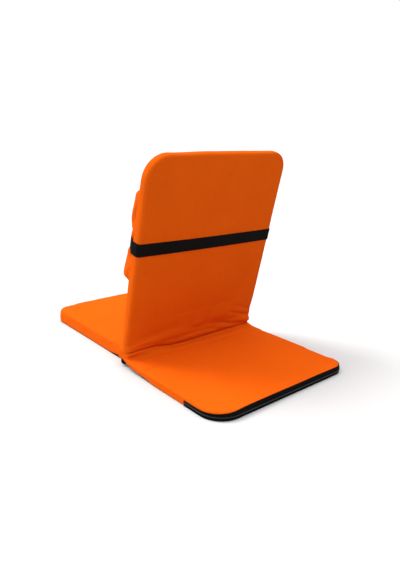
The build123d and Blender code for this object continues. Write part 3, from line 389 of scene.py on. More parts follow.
def plain(name, colour, rough, metal=0.0):
    """Painted metal, zinc or nylon, with a fine uneven surface."""
    s = Shader(name)
    spots = s.node("ShaderNodeTexCoord").outputs["Object"]
    dots = s.node("ShaderNodeTexNoise", {"Vector": spots, "Scale": 300.0, "Detail": 4.0}).outputs[0]
    share = s.node("ShaderNodeMapRange", {0: dots, 1: 0.4, 2: 0.7, 3: 0.0, 4: 1.0}).outputs[0]
    lighter = tuple(min(1.0, c * 1.35 + 0.004) for c in colour)
    bumps = s.node("ShaderNodeBump", {"Height": dots, "Strength": 0.1, "Distance": 0.0002})
    return s.finish(Base_Color=s.mix(share, (*colour, 1), (*lighter, 1)), Roughness=rough,
                    Metallic=metal, Normal=bumps.outputs[0])


orange = cloth("orange_cloth", (0.79, 0.110, 0.0040), (0.84, 0.121, 0.0048), stitches=(3.0,),
               shine=0.015)
black = cloth("black_cloth", (0.004, 0.0038, 0.0038), (0.0065, 0.006, 0.006), thread=0.7,
              shine=0.06)
webbing = cloth("black_webbing", (0.0048, 0.0044, 0.0044), (0.0078, 0.0072, 0.0072), thread=1.1,
                bump=0.6, shine=0.05)
zip_cloth = cloth("zip_cloth", (0.0036, 0.0033, 0.0033), (0.006, 0.0055, 0.0055), thread=0.8,
                  bump=0.5, shine=0.06)
enamel = plain("black_powder_coat", (0.012, 0.012, 0.013), 0.45)
zinc = plain("zinc", (0.55, 0.55, 0.56), 0.35, metal=1.0)
nylon = plain("black_nylon", (0.014, 0.014, 0.014), 0.5)


def dress(made, material, body, hides=()):
    """Gives a piece its material, slot and body, and hides the CAD parts that it stands for."""
    made.data.materials.clear()
    made.data.materials.append(material)
    if hides:
        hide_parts(*hides)
    if body:
        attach(made, body)


# ---- curves and filled cloth ---------------------------------------------------------------------
def curve_through(knots):
    """Smooth function through (place, value) knots."""
    places, values = np.array(knots, float).T
    fine = np.arange(places[0], places[-1] + 1.0)
    level = np.interp(fine, places, values)
    ends = np.concatenate([np.full(6, level[0]), level, np.full(6, level[-1])])
    level = np.convolve(ends, np.hanning(13) / np.hanning(13).sum(), "same")[6:-6]
    return lambda at: np.interp(at, fine, level)


def spline(knots, count):
    """count points along a smooth line through 2-D or 3-D knots."""
    k = np.asarray(knots, float)
    k = np.vstack([2 * k[0] - k[1], k, 2 * k[-1] - k[-2]])
    length = walked_along(k[1:-1])
    got = []
    for t in np.linspace(0, length[-1] - 1e-6, count):
        i = int(np.searchsorted(length, t, side="right")) - 1
        u = (t - length[i]) / (length[i + 1] - length[i])
        a, b, c, d = k[i:i + 4]
        got.append(0.5 * (2 * b + (c - a) * u + (2 * a - 5 * b + 4 * c - d) * u**2
                          + (3 * b - a - 3 * c + d) * u**3))
    return np.array(got)


def inflate(made, cap, held, growth=0.012):
    """Swells a pad as filled cloth that is larger than it was drawn by the share growth. Points
    for which held is true stay, the others move by cap millimetres at most."""
    mesh = made.data
    start = np.zeros(len(mesh.vertices) * 3)
    mesh.vertices.foreach_get("co", start)
    start = start.reshape(-1, 3)
    pins = made.vertex_groups.new(name="held")
    pins.add([k for k, co in enumerate(start / MM) if held(co)], 1.0, "REPLACE")
    others = list(made.modifiers)
    for other in others:
        other.show_viewport = False
    stuff = made.modifiers.new("filled", "CLOTH")
    with bpy.context.temp_override(object=made):
        bpy.ops.object.modifier_move_to_index(modifier="filled", index=0)
    stuff.settings.quality = 6
    stuff.settings.mass = 0.25
    stuff.settings.tension_stiffness = stuff.settings.compression_stiffness = 25
    stuff.settings.bending_stiffness = 1.5
    stuff.settings.shrink_min = -growth
    stuff.settings.use_pressure = True
    stuff.settings.uniform_pressure_force = 4.0
    stuff.settings.vertex_group_mass = "held"
    stuff.settings.effector_weights.gravity = 0
    stuff.collision_settings.use_collision = False
    for step in range(1, 15):
        bpy.context.scene.frame_set(step)
    grown = made.evaluated_get(bpy.context.evaluated_depsgraph_get()).data
    end = np.zeros(len(start) * 3)
    grown.vertices.foreach_get("co", end)
    move = end.reshape(-1, 3) - start
    far = np.linalg.norm(move, axis=1)[:, None]
    move *= np.minimum(1.0, cap * MM / np.maximum(far, 1e-9))
    made.modifiers.remove(stuff)
    made.vertex_groups.remove(pins)
    for other in others:
        other.show_viewport = True
    bpy.context.scene.frame_set(1)
    mesh.vertices.foreach_set("co", (start + move).astype(np.float32).ravel())
    mesh.update()


def dome(half, middle, peak, crown):
    """Height of a pad's crowned face."""
    return lambda u, v: peak - crown * (u**2 + (v - middle) ** 2) / half**2


# ---- seat pad ------------------------------------------------------------------------------------
SEAT = (SEAT_HALF, HINGE_Y - 460.0, HINGE_Y - 12.0, 42.0, (14.0, 14.0), 1.0)
SEAT_PEAK = 46.5  # height of its crown
RELIEF_RUN = 105.0  # how far from the tail pivot the undersides rise, for folding
RELIEF_SLOPE = TAIL_PIVOT[2] / RELIEF_RUN


def seat_under(u, v):
    """Height of the seat's underside, which rises towards the hinge."""
    return RELIEF_SLOPE * np.maximum(0.0, v - (TAIL_PIVOT[1] - RELIEF_RUN))


def seat_top(u, v):
    """Crowned, but level over the hinge plates."""
    fall = 6.0 - 4.8 * smooth((v - HINGE_Y + 125.0) / 60.0)
    middle = (SEAT[1] + SEAT[2]) / 2
    return SEAT_PEAK - fall * (u / SEAT_HALF) ** 2 - ((v - middle) / SEAT_HALF) ** 2


def hinge_corners(co):
    """1 at the seat's two corners by the hinge, and 0 away from them."""
    by_hinge = smooth((co[1] - HINGE_Y + 62) / 34)
    return float(by_hinge * smooth((abs(co[0]) - 196) / 14))


seat_seams = ((0.1, 0.5), (0.3, 0.0), (0.7, 0.0), (0.9, 0.5))
seat = pad("seat_pad", SEAT, rounded(9.0, 3.0, seams=seat_seams), seat_top,
           lambda u, v: seat_under(u, v) + 1.2, on_floor, bulge=1.2)
inflate(seat, 2.2, lambda co: co[2] < 8 + seat_under(co[0], co[1]))
roughen(seat, 0.45, 60.0, 1)
roughen(seat, 1.1, 13.0, 5, hinge_corners)
dress(seat, orange, "seat", ("seat_cover", "seat_foam"))

seat_base_shape = (SEAT_HALF - 0.6, SEAT[1] - 1.0, SEAT[2] - 1.5, 42.5, (12.5, 12.5), 0.6)
seat_base = pad("seat_base", seat_base_shape, rounded(1.2, 0.6),
                lambda u, v: seat_under(u, v) + 2.6, lambda u, v: seat_under(u, v) + 0.7, on_floor)
dress(seat_base, black, "seat", ("seat_base_cloth",))

# towards the hinge line the slack base cloth hangs down to the floor, and is pressed flat by the
# folded panel; this black sheet is partly real base cloth and partly painted shade for the gap
# under the raised hinge end
slack_and_shade_start = TAIL_PIVOT[1] - RELIEF_RUN
slack_and_shade_shape = (SEAT_HALF - 1.4, slack_and_shade_start, HINGE_Y + 9.0, 3.0, (6.0, 6.0), 0.0)
slack_and_shade = pad("seat_base_slack_and_shade", slack_and_shade_shape, rounded(0.3, 0.3),
          lambda u, v: seat_under(u, v) + 0.9, lambda u, v: 0.2 + 0 * u, on_floor)
dress(slack_and_shade, black, None)
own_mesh(slack_and_shade)
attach(slack_and_shade, "seat")

# ---- backrest ------------------------------------------------------------------------------------
BACK = (BACK_HALF, -13.0, 537.0, 14.0, (66.0, 50.0), 0.4)
BACK_FACE = 15.0  # from the middle plane to either face
TAPER_START, TAPER_SLOPE = 36.0, 0.176  # the front thins below this height above the pivot


def back_front(u, v):
    """Height of the backrest's front face above its middle plane."""
    face = dome(BACK_HALF, (BACK[1] + BACK[2]) / 2, 17.0, 2.0)(u, v)
    return np.minimum(face, BACK_FACE - TAPER_SLOPE * np.maximum(0.0, TAPER_START - v))


def full_left(co):
    """The cover is fuller along the chair's left side, and towards the left of its top."""
    up = (co - BACK_PIVOT) @ UP_BACK
    out = -4.4 * smooth(-co[:, 0] / BACK_HALF) * smooth(up / 90.0)
    rise = 2.6 * smooth((up - 430.0) / 100.0) * smooth((150.0 - co[:, 0]) / 120.0)
    return out[:, None] * ACROSS + rise[:, None] * UP_BACK


back = pad("back_pad", BACK, rounded(8.0, 8.5, seams=((0.12, 0.4), (0.5, 0.0), (0.88, 0.4))),
           back_front, lambda u, v: -BACK_FACE + 0 * u, on_back, bulge=0.6)
shift(back, full_left)
roughen(back, 0.5, 80.0, 2)
dress(back, orange, "backrest",
      ("back_cover", "back_foam_front", "back_foam_rear", "back_support_web"))

# ---- rear panel ----------------------------------------------------------------------------------
TAIL = (TAIL_HALF, HINGE_Y + 17.0, HINGE_Y + 403.0, 30.0, (62.0, 44.0), 0.0)
TAIL_ROUND = 5.0  # radius of the top edge
LEG_X, LEG_WRAP = 222.6, 7.6  # the frame's legs, and the cloth's distance round their middles
PLATE_X = 210.0  # the hinge plates
SLIDER_SINK = 4.5  # how far the left side is set in along the zip's slider and pull,
SLIDER_RUN = (282.0, 390.0)  # which lie between these places along +Y

# the sides' lower edge rises towards the hinge: (behind the hinge line, height)
side_rise = curve_through([(-20, 27), (-5, 26), (10, 23.5), (27, 16.5), (45, 12.5), (68, 9.6),
                           (95, 7.2), (121, 4.8), (150, 1.6), (180, 0), (600, 0)])


def tail_under(u, v):
    """Underside: it rises towards the hinge and towards the sides, but stays below the legs, and
    leaves room for the hinge plates."""
    rise = np.maximum(0.0, TAIL_PIVOT[1] + RELIEF_RUN - v)
    flat = np.where(np.abs(u) < 215.2, RELIEF_SLOPE * rise + 0.4, 0.045 * rise)
    slope = np.minimum(side_rise(v - HINGE_Y), 17.0) - 0.88 * (TAIL_HALF - np.abs(u))
    off = np.clip(np.abs(np.abs(u) - LEG_X) / LEG_WRAP, 0, 1)
    under_leg = np.where(off < 1, TAIL_PIVOT[2] - LEG_WRAP * np.sqrt(1 - off**2), 99.0)
    over_plates = np.abs(np.abs(u) - PLATE_X) < 5.2
    plates = 4.0 * (1 - smooth((v - HINGE_Y - 18.0) / 14.0)) * over_plates
    return np.maximum(flat, np.minimum(slope, under_leg)) + plates


def slider_room(deep):
    """Moves the left side in along the run of the zip's slider and pull."""
    def mover(co):
        """How far to move each point."""
        from_front, from_rear = co[:, 1] - SLIDER_RUN[0], SLIDER_RUN[1] - co[:, 1]
        near = smooth(from_front / 24.0) * smooth(from_rear / 24.0)
        inwards = deep * near * smooth((-co[:, 0] - 204.0) / 28.0)
        return np.column_stack([inwards, 0 * near, 0 * near])
    return mover


tail_top = dome(TAIL_HALF, (TAIL[1] + TAIL[2]) / 2, 25.5, 1.5)
tail = pad("tail_pad", TAIL, rounded(TAIL_ROUND, 1.5, seams=((0.12, 0.3), (0.5, 0.0), (0.9, 0.3))),
           tail_top, lambda u, v: tail_under(u, v) + 1.8, on_floor)
roughen(tail, 0.4, 80.0, 3, lambda co: float(smooth((co[2] - 6) / 8)))
shift(tail, slider_room(SLIDER_SINK))
dress(tail, orange, "rear_panel", ("tail_cover", "tail_foam"))

tail_base_shape = (TAIL_HALF - 1.0, TAIL[1] + 1.2, TAIL[2] - 1.2, 28.8, (60.8, 42.8), 0.0)
tail_base = pad("tail_base", tail_base_shape, rounded(0.8, 0.8),
                lambda u, v: tail_under(u, v) + 2.8, lambda u, v: tail_under(u, v) + 0.6, on_floor)
shift(tail_base, slider_room(SLIDER_SINK))
dress(tail_base, black, "rear_panel", ("tail_base_cloth",))

# ---- zip -----------------------------------------------------------------------------------------
# black band round the rear edge: lower tape, teeth and upper tape in one strip, up to the top's
# edge; (out, height), where heights below 0 count down from the pad's top
BAND = ((-3.0, 1.0), (0.5, 0.9), (0.9, 1.6), (0.95, 2.4), (0.6, 3.0), (0.55, 7.2), (0.9, 7.9),
        (1.2, 8.3), (1.5, 9.0), (1.5, 10.4), (1.2, 11.1), (0.9, 11.5), (0.55, 12.2), (0.55, -8.0),
        (0.6, -6.0), (0.6, -4.5), (0.6, -3.4), (0.7, -2.5), (0.75, -1.7), (0.6, -1.2), (-0.2, -1.0))
UPPER_TAPE = 12.2  # height at which the upper tape's plain cloth starts
ZIP_FRONT = HINGE_Y + 280.0  # where the band starts on either side
TOOTH_PITCH, TOOTH_HALF = 1.5, 0.55  # step from tooth to tooth, and half a tooth's width
TOOTH_OUT = (0.9, 2.0)  # root and tip, out of the panel's side
TOOTH_HEIGHTS = ((9.2, 11.2), (8.3, 10.3))  # low and high of the upper and lower tape's teeth
rim, rim_normal, rim_at = outline(*TAIL, 158, 128)
behind = sorted((k for k in range(len(rim)) if rim[k, 1] > ZIP_FRONT), key=lambda k: rim_at[k])
zip_run = [(rim[k], rim_normal[k], rim_at[k]) for k in behind]
ZIP_START, ZIP_END = zip_run[0][2], zip_run[-1][2]


def band_row(q, m, along):
    """The band's upper cloth is narrow where the band starts on the chair's right and left."""
    top = float(tail_top(q[0], q[1]))
    to_end = ZIP_END - ZIP_START - along
    full = 0.3 + 0.7 * float(min(smooth((along - 30.0) / 150.0), smooth((to_end - 25.0) / 60.0)))
    row = []
    for out, z in BAND:
        z = z if z > 0 else UPPER_TAPE + (top + z - UPPER_TAPE) * full
        into = max(0.0, z - (top - TAIL_ROUND))
        out -= TAIL_ROUND - math.sqrt(max(0.0, TAIL_ROUND**2 - into**2))
        row.append((q[0] + m[0] * out, q[1] + m[1] * out, z))
    return row


def teeth_blocks():
    """Points and faces of the teeth: small blocks that stand out of the band, turn and turn about
    from the two tapes."""
    places = [t for q, m, t in zip_run]
    courses = np.array([(*q, *m) for q, m, t in zip_run]).T
    points, faces = [], []
    walk, k = ZIP_START + 3.0, 0
    while walk < ZIP_END - 3.0:
        spot = [np.interp(walk, places, course) for course in courses]
        q, m = np.array(spot[:2]), np.array(spot[2:])
        along = np.array([-m[1], m[0]])
        low, high = TOOTH_HEIGHTS[k % 2]
        first = len(points)
        for out in TOOTH_OUT:
            for step, z in ((-1, low), (1, low), (1, high), (-1, high)):
                points.append((*(q + m * out + along * (step * TOOTH_HALF)), z))
        faces += [tuple(first + i for i in loop) for loop in
                  ((4, 5, 6, 7), (0, 1, 5, 4), (1, 2, 6, 5), (2, 3, 7, 6), (3, 0, 4, 7))]
        walk += TOOTH_PITCH
        k += 1
    return points, faces


band = sheet_rows("zip_band", [band_row(q, m, t - ZIP_START) for q, m, t in zip_run],
                  uv=np.array([(t, z) for q, m, t in zip_run for out, z in BAND]))
shift(band, slider_room(SLIDER_SINK))
dress(band, zip_cloth, "rear_panel",
      ("zip_tape_upper", "zip_tape_lower", "zip_stops"))
teeth = make_object("zip_teeth_row", *teeth_blocks())
shift(teeth, slider_room(SLIDER_SINK + 0.6))
dress(teeth, nylon, "rear_panel", ("zip_teeth",))

# ---- lumbar cushion ------------------------------------------------------------------------------
LUMBAR = (224.0, 183.0, 441.0, 26.0, (22.0, 22.0), 2.0)
LUMBAR_BACK = 17.3  # the cushion's rear, from the backrest's middle plane
STRAP_UP = 292.5  # the strap's middle, up the backrest


def tilt(x):
    """The strap sits a little higher towards the chair's right."""
    return 3.0 * x / BACK_HALF + 1.5 * (x / BACK_HALF) ** 2


# thickness from the backrest's middle plane: along the cushion's ends, and along its middle
end_level = curve_through([
    (183, 60), (195, 62.5), (204, 63), (222, 62), (241, 60), (262, 58.5), (272, 54.5), (279, 50),
    (292, 48.5), (307, 49), (318, 51), (340, 51.5), (376, 53.5), (400, 52), (426, 51), (434, 50.5),
    (441, 49)])
middle_level = curve_through([
    (183, 60), (195, 67), (214, 72.5), (230, 73), (250, 70), (265, 63), (274, 57.5), (292, 55),
    (309, 57.5), (320, 61), (340, 65.5), (370, 67), (400, 65), (424, 60), (441, 54)])


def lumbar_top(u, v):
    """Two lobes, with a dent under the strap that tilts with it."""
    share = 1 - np.clip(np.abs(u) / LUMBAR[0], 0, 1) ** 2.4
    near = v - tilt(u) * (1 - smooth((np.abs(v - STRAP_UP) - 25.0) / 60.0))
    return end_level(near) * (1 - share) + middle_level(near) * share


def lumbar_rear(u, v):
    """The cushion's rear face follows the crowned backrest."""
    return LUMBAR_BACK + 1.1 - 2.6 * (u / LUMBAR[0]) ** 2


def under_strap(co):
    """True for points that the strap or the backrest holds."""
    up = (np.asarray(co) - BACK_PIVOT) @ UP_BACK
    front = (np.asarray(co) - BACK_PIVOT) @ FRONT
    return abs(up - STRAP_UP - tilt(co[0])) < 20 or front < LUMBAR_BACK + 4


lumbar_seams = ((0.2, 0.2), (0.45, 0.0), (0.5, 0.9), (0.55, 0.0), (0.8, 0.2))
lumbar = pad("lumbar_pad", LUMBAR, rounded(13.0, 6.0, seams=lumbar_seams), lumbar_top, lumbar_rear,
             on_back, cell=5.0, bulge=1.0)
inflate(lumbar, 4.0, under_strap, growth=0.03)
roughen(lumbar, 0.6, 38.0, 4, lambda co: 0.0 if under_strap(co) else 1.0)
dress(lumbar, orange, None, ("lumbar_cover", "lumbar_foam"))
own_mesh(lumbar)
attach(lumbar, "lumbar")

# ---- strap ---------------------------------------------------------------------------------------
STRAP_WIDTH, STRAP_THICKNESS = 35.0, 1.6


def strap_along(name, path):
    """A piece of the strap, whose middle line is a list of (across, front) points on the
    backrest."""
    path = np.asarray(path, float)
    tangent = np.gradient(path, axis=0)
    tangent /= np.linalg.norm(tangent, axis=1)[:, None]
    out = np.column_stack([tangent[:, 1], -tangent[:, 0]])
    half, t = STRAP_WIDTH / 2, STRAP_THICKNESS / 2
    ribs = np.linspace(-half + 1.2, half - 1.2, 11)
    section = [(-half, -t * 0.6), (-half, t * 0.6)] + \
        [(v, t * (1.0 if k % 2 else 0.86)) for k, v in enumerate(ribs)] + \
        [(half, t * 0.6), (half, -t * 0.6)] + [(v, -t) for v in ribs[::-2]]
    rows = []
    for (x, f), (ox, of) in zip(path, out):
        over_left = 4.0 * float(smooth(-x / BACK_HALF))  # goes over the fuller left side
        rows.append([on_back((x - over_left + ox * w, STRAP_UP + tilt(x) + v, f + of * w))
                     for v, w in section])
    uv = np.array([[s, v] for s in walked_along(path) for v, w in section])
    return sheet_rows(name, rows, True, uv)


def quarter(cx, cy, r, steps=10):
    """Points of a quarter turn about (cx, cy), from its right down to its bottom."""
    turns = [math.radians(-90 * k / steps) for k in range(steps + 1)]
    return [(cx + r * math.cos(a), cy + r * math.sin(a)) for a in turns]


def mirrored(points):
    """The other side's points, in the order that carries on round the strap."""
    return [(-x, f) for x, f in points[::-1]]


half_rear = [(236.9, 11.0), (237.0, 4.0), (237.0, -5.0)] + quarter(228.4, -7.4, 8.6)
rear = half_rear + [(x, -16.0) for x in np.linspace(218, -218, 30)] + mirrored(half_rear)
strap_rear = strap_along("strap_rear", rear)
dress(strap_rear, webbing, "lumbar", ("elastic_strap",))
half_front = spline([(236.9, 11.0), (235.0, 16.0), (228.5, 27.0), (222.6, 38.0), (218.0, 45.5),
                     (209.0, 49.8), (190.0, 51.8)], 26)
over = [(x, float(lumbar_top(x, STRAP_UP + tilt(x))) + 1.7) for x in np.linspace(182, -182, 30)]
front = [tuple(q) for q in half_front] + over + mirrored(half_front)
strap_front = strap_along("strap_front", front)
dress(strap_front, webbing, None)
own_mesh(strap_front)
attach(strap_front, "lumbar")

# ---- cloth across the hinge line -----------------------------------------------------------------
SLEEVE_HALF = 236.9
SLEEVE_EDGE = SLEEVE_HALF - 8.0  # where its rear face ends and its sides start
SLEEVE_TOP = 84.0  # up the backrest
SLEEVE_REAR, SLEEVE_DEPTH = -15.9, 28.9  # behind the backrest's middle plane, and front to rear
SINK = 1.6  # how deep the sleeve's ends are tucked into the pads
MITRE_FRONT = np.array([HINGE_Y + 1.0, 30.0])
ACROSS_ROW = np.linspace(SLEEVE_EDGE, -SLEEVE_EDGE, 96)
SIDE_SHARES = np.linspace(1.0, 0.12, 6)  # 1 at the front ear, 0 at the rear face

# the main crease, which sits higher towards the chair's right side: (across, up the backrest)
crease_up = curve_through([(-240, -20), (-105, -21), (30, -22), (84, -20), (140, -8), (190, -7),
                           (240, -9)])
# the upper limit of the cloth that bulges above the crease
brow_up = curve_through([(-240, 20), (-83, 20), (-7, 21), (75, 35), (158, 30), (240, 17)])
# where the lower cloth meets the rear panel: (across, behind the hinge line)
lower_reach = curve_through([(-240, 62), (0, 60), (60, 55), (120, 46), (187, 40), (240, 34)])
# small folds: points (across, up the backrest), depth and half-width
FOLDS = (
    (((-40, 44), (-110, 38), (-170, 26), (-240, 4)), -5.5, 24.0),
    (((-118, 44), (-160, 32), (-200, 20), (-238, 5)), 5.0, 5.0),
    (((-80, 17), (-145, -1), (-205, -11), (-238, -15)), 5.5, 5.0),
    (((-150, 58), (-195, 44), (-236, 30)), 2.4, 6.0),
    (((240, 22), (190, 17), (140, 20), (60, 24), (-20, 26)), -2.5, 13.0),
    (((240, 3), (200, 7), (160, 7)), 2.6, 5.0),
    (((130, 6), (60, 0), (-10, 2), (-80, -2)), 2.8, 5.0),
)


def fold_depth(x, up):
    """Depth of the small folds at (across, up the backrest)."""
    total = np.zeros(np.shape(x))
    for line, depth, width in FOLDS:
        near = np.full(np.shape(x), 1e9)
        for (x0, s0), (x1, s1) in zip(line, line[1:]):
            dx, ds = x1 - x0, s1 - s0
            t = np.clip(((x - x0) * dx + (up - s0) * ds) / (dx**2 + ds**2), 0, 1)
            near = np.minimum(near, np.hypot(x - x0 - t * dx, up - s0 - t * ds))
        tip = smooth((abs(x - line[0][0])) / 40)
        total += depth * tip * np.exp(-(near / width) ** 2)
    return total


def crease_back(x):
    """The crease's depth behind the backrest's middle; it runs round the hinge plates."""
    return -18.2 - 2.6 * math.exp(-(((abs(x) - 210.5) / 7.0) ** 2))


def yz(up, front, x=0.0):
    """(y, z) of a place on the backrest."""
    return on_back((x, up, front))[1:]


def crease_at(x):
    """(y, z) of the main crease."""
    return yz(float(crease_up(x)), crease_back(x), x)


def upper_column(x, share):
    """Down the backrest to the crease, at the rear face (share 0) or on the way to its front."""
    if share == 0:
        c, f = float(crease_up(x)), crease_back(x)
        brow = float(brow_up(x))
        mid = (c + brow) / 2
        up, out = spline([
            (SLEEVE_TOP, -14.6), (68, -16.0), (brow + 14, -16.2), (brow, -15.4), (brow - 8, -17.0),
            (mid + 3, -21.4), (mid - 6, -23.6), (c + 7, -23.2), (c + 2.5, f - 2.8), (c, f),
            (c - 0.5, f + 1.8)], 36).T
        x = np.full(36, x)
        out = out + fold_depth(x, up) * smooth((up - c) / 9) * smooth((SLEEVE_TOP - up) / 12)
        return on_back(np.column_stack([x, up, out]))
    side = math.copysign(1, x)
    across, f = side * SLEEVE_HALF, SLEEVE_REAR + SLEEVE_DEPTH * share
    if share > 0.8:
        across = side * (SLEEVE_HALF - 28.0 * (share - 0.8) / 0.2)
        f = SLEEVE_REAR + SLEEVE_DEPTH
    elif share < 0.25:
        a, corner = math.pi / 2 * share / 0.25, 8.0
        across = side * (SLEEVE_HALF - corner * (1 - math.sin(a)))
        f = SLEEVE_REAR + corner * (1 - math.cos(a))
    end = np.array([across, *(crease_at(side * SLEEVE_EDGE) * (1 - share) + MITRE_FRONT * share)])
    return spline([on_back((across - side * SINK, SLEEVE_TOP, f)), on_back((across, 50.0, f)),
                   on_back((across, 16.0 - 6.0 * share, f)), end, end - (side * 3.0, 0, 0)], 36)


def lower_column(x, share):
    """From the crease down and back to the rear panel's top, or along its side."""
    if share == 0:
        c = crease_at(x)
        reach = HINGE_Y + float(lower_reach(x))
        steep = np.clip((c[1] - 31.0) / 14.0, 0, 1)
        dip = 2.4 * (1 - float(smooth((abs(x) - 150) / 40)))
        line = spline([
            c - (1.6, 0.4), c, c + (3.0, 0.2), c + (7.0, -2.4 - 2 * steep - dip),
            (reach - 11 + 4 * steep, 28.4 + 2.6 * steep), (reach - 2, 26.4), (reach + 4, 25.6),
            (reach + 16, 26.1), (HINGE_Y + 104, 24.4)], 44)
        return np.column_stack([np.full(44, x), line])
    side = math.copysign(1, x)
    across, height = side * (SLEEVE_HALF + 0.8), 0.72 * (1 - (share - 0.3) / 0.7)
    if share < 0.3:
        a, corner = math.pi / 2 * share / 0.3, 7.0
        across = side * (SLEEVE_HALF + 0.8 - corner * (1 - math.sin(a)))
        height = 1 - 0.28 * (1 - math.cos(a))
    start = crease_at(side * SLEEVE_EDGE) * (1 - share) + MITRE_FRONT * share

    def level(y, top):
        """Height at y behind the hinge line, between the side's lower edge and top."""
        low = min(float(side_rise(y)) + 1.2, top - 1.5)
        return low + (top - low) * height

    return spline([
        (across - side * 3.0, *start), (across, *start),
        (across, HINGE_Y + 16 + 12 * height, level(16, 30.0)),
        (across, HINGE_Y + 42 + 4 * height, level(42, 26.4)),
        (across, HINGE_Y + 72, level(72, 25.8)),
        (across - side * SINK, HINGE_Y + 104, level(104, 24.2))], 44)


def wrap(maker):
    """Columns from the front ear on one side, round the rear face, to the ear on the other."""
    right = [maker(SLEEVE_HALF, s) for s in SIDE_SHARES]
    left = [maker(-SLEEVE_HALF, s) for s in SIDE_SHARES[::-1]]
    return np.array(right + [maker(x, 0) for x in ACROSS_ROW] + left).transpose(1, 0, 2)


upper = sheet_rows("rear_gusset_top", wrap(upper_column))
roughen(upper, 0.5, 26.0, 6)
dress(upper, orange, None, ("rear_gusset_upper",))
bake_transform(upper)

lower = sheet_rows("rear_gusset_bottom", wrap(lower_column))
roughen(lower, 0.4, 26.0, 7)
dress(lower, orange, None, ("rear_gusset_lower",))
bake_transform(lower)


def strip_across(name, line, half, material, hides, fall=0.0):
    """A cloth strip across the chair along a line of (y, z) points, slightly puckered. Its first
    half drops by fall at its ends."""
    line = spline(line, 24)
    rows = []
    for k, (y, z) in enumerate(line):
        free = 0.5 * math.sin(math.pi * k / (len(line) - 1))
        drop = fall * max(0.0, 1 - 2.0 * k / (len(line) - 1))
        rows.append([
            (x, y, z - drop * (x / half) ** 2 + free * noise.noise((x * 0.05, k * 0.1, 3.0)))
            for x in np.linspace(half, -half, 60)])
    made = sheet_rows(name, rows)
    dress(made, material, None, hides)
    return made


front_cloth = strip_across("front_cloth", [
    (HINGE_Y - 50, 43.4), (HINGE_Y - 30, 44.8), (HINGE_Y - 16, 44.4), (HINGE_Y - 9, 42.8),
    yz(-6, 8.6), yz(4, 11.2), yz(22, 14.4), yz(44, 15.6)],
    211.0, orange, ("front_gusset",), 6.0)
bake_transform(front_cloth)

bridge = strip_across("base_cloth_bridge", [
    (HINGE_Y - 34, 8.0), (HINGE_Y - 14, 11.0), (HINGE_Y - 4, 13.0), (HINGE_Y + 2, 13.6),
    (HINGE_Y + 9, 13.0), (HINGE_Y + 20, 11.0), (HINGE_Y + 42, 8.4)],
    208.0, black, ("base_bridge",))
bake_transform(bridge)

# an ear's profile out to the side: (share of its length, share of its size)
EAR = ((0, 0.9), (0.12, 0.98), (0.6, 1.0), (0.8, 0.97), (0.92, 0.88), (0.98, 0.7), (1.0, 0.4),
       (1.0, 0.0))


def ear(name, side, middle, reach, lean, ends, material):
    """Cloth round one end of the hinge line: a rounded cap about middle (y, z)."""
    rows = []
    for a in np.linspace(-90, 270, 48):
        r = math.radians(a)
        y = reach[0] * math.copysign(abs(math.cos(r)) ** 0.75, math.cos(r))
        z = reach[1] * math.copysign(abs(math.sin(r)) ** 0.75, math.sin(r))
        y *= 1 + 0.03 * math.sin(5 * r) * math.sin(2 * r + 1)  # puckered
        rows.append([(side * (ends[0] + (ends[1] - ends[0]) * x), middle[0] + (y + lean * z) * k,
                      middle[1] + z * k) for x, k in EAR])
    dress(sheet_rows(name, rows), material, "seat")


for side in (1, -1):
    ear("hinge_cover", side, (HINGE_Y - 6.0, 36.5), (15.0, 21.0), 0.22, (201.0, 235.8),
        orange)
    # the lower cap is black base cloth, and its black also stands in for the shade in the gap under
    # the hinge end: partly painted shade
    ear("hinge_cover_base_and_shade", side, (HINGE_Y + 1.5, 13.2), (9.8, 8.8), 0.0, (208.0, 234.4),
        black)

# ---- frame pieces that keep their shape ----------------------------------------------------------
LOOKS = {
    enamel: ("seat_frame", "seat_cross_bar", "back_frame", "back_cross_bar", "tail_frame",
             "tail_cross_bar", "hinge_plate_left", "hinge_plate_right", "zip_slider", "zip_pull"),
    zinc: ("plate_rivets", "back_pivot_rivets", "tail_pivot_rivets", "back_stop_pins",
           "tail_stop_pins"),
    nylon: ("seat_frame_plugs", "back_leg_plugs", "tail_leg_plugs", "pivot_spacers",
            "pivot_washers"),
}
for material, names in LOOKS.items():
    for name in names:
        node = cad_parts[name]
        node.data.materials.clear()
        node.data.materials.append(material)

# ---- floor, light and camera ---------------------------------------------------------------------
floor_mesh = bpy.data.meshes.new("floor")
floor_mesh.from_pydata([(-30, -30, 0), (30, -30, 0), (30, 30, 0), (-30, 30, 0)], [], [(0, 1, 2, 3)])
floor = bpy.data.objects.new("floor", floor_mesh)
bpy.context.scene.collection.objects.link(floor)
pale = Shader("pale_floor")
floor_colour = pale.mix(pale.looked_at(), (0.52, 0.52, 0.52, 1), (0.67, 0.67, 0.67, 1))
floor.data.materials.append(
    pale.finish(Base_Color=floor_colour, Roughness=0.9, Specular_IOR_Level=0.0))

# two large soft lamps from the chair's front, one high and one low: name, strength, spread, way
for name, strength, spread, way in (("softbox", 1.45, 20, (-0.40, 0.62, -1.0)),
                                    ("low_softbox", 0.75, 50, (-0.35, 0.65, -0.34))):
    data = bpy.data.lights.new(name, "SUN")
    data.energy, data.angle = strength, math.radians(spread)
    lamp = bpy.data.objects.new(name, data)
    bpy.context.scene.collection.objects.link(lamp)
    lamp.rotation_euler = Vector(way).to_track_quat("-Z", "Y").to_euler()

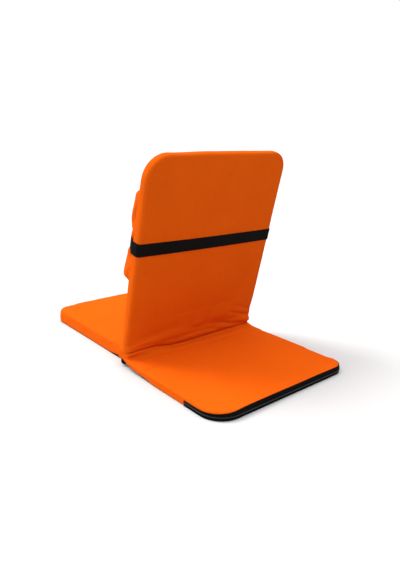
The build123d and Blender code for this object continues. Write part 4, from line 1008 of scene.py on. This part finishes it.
# a white surround, brightest overhead and towards +X, that looks evenly white itself
world = bpy.data.worlds.new("studio")
bpy.context.scene.world = world
world.use_nodes = True
world.node_tree.nodes.clear()
sky = Nodes(world.node_tree)
where = sky.node("ShaderNodeTexCoord").outputs["Generated"]
split = sky.node("ShaderNodeSeparateXYZ", {0: where}).outputs
overhead = sky.math("MULTIPLY", sky.math("POWER", split[2], 2.0), 2.25)
sideways = sky.math("POWER", sky.math("MAXIMUM", split[0], 0.0), 2.0)
glow = sky.math("MULTIPLY_ADD", sideways, 0.8, overhead)
ambient = sky.node("ShaderNodeBackground", {0: (1, 1, 1, 1), 1: glow}).outputs[0]
seen = sky.node("ShaderNodeBackground", {0: (1, 1, 1, 1), 1: 1.0}).outputs[0]
choose = sky.node("ShaderNodeMixShader", {0: sky.looked_at(), 1: ambient, 2: seen})
sky.node("ShaderNodeOutputWorld", {0: choose.outputs[0]})

# the photograph's camera, solved from the panels' straight edges
AZIMUTH, ELEVATION, ROLL = math.radians(139.77), math.radians(16.18), math.radians(1.16)
FOCAL_PIXELS, PICTURE_HEIGHT = 520.08, 570.0
TARGET = np.array([-38.67, HINGE_Y + 6.16, 188.71])
DISTANCE = 1560.7
away = np.array([math.sin(AZIMUTH) * math.cos(ELEVATION), -math.cos(AZIMUTH) * math.cos(ELEVATION),
                 math.sin(ELEVATION)])
level = np.array([math.cos(AZIMUTH), math.sin(AZIMUTH), 0.0])
upright = np.cross(level, -away)
right = math.cos(ROLL) * level + math.sin(ROLL) * upright
up = -math.sin(ROLL) * level + math.cos(ROLL) * upright
turned = np.eye(4)
turned[:3] = np.column_stack([right, up, away, (TARGET + away * DISTANCE) * MM])
camera_data = bpy.data.cameras.new("camera")
camera_data.sensor_fit = "VERTICAL"
camera_data.sensor_height = 36.0
camera_data.lens = 36.0 * FOCAL_PIXELS / PICTURE_HEIGHT
camera_data.clip_start, camera_data.clip_end = 0.05, 100
camera = bpy.data.objects.new("camera", camera_data)
bpy.context.scene.collection.objects.link(camera)
camera.matrix_world = Matrix(turned.tolist())
bpy.context.scene.camera = camera
bpy.context.scene.view_settings.view_transform = "Standard"
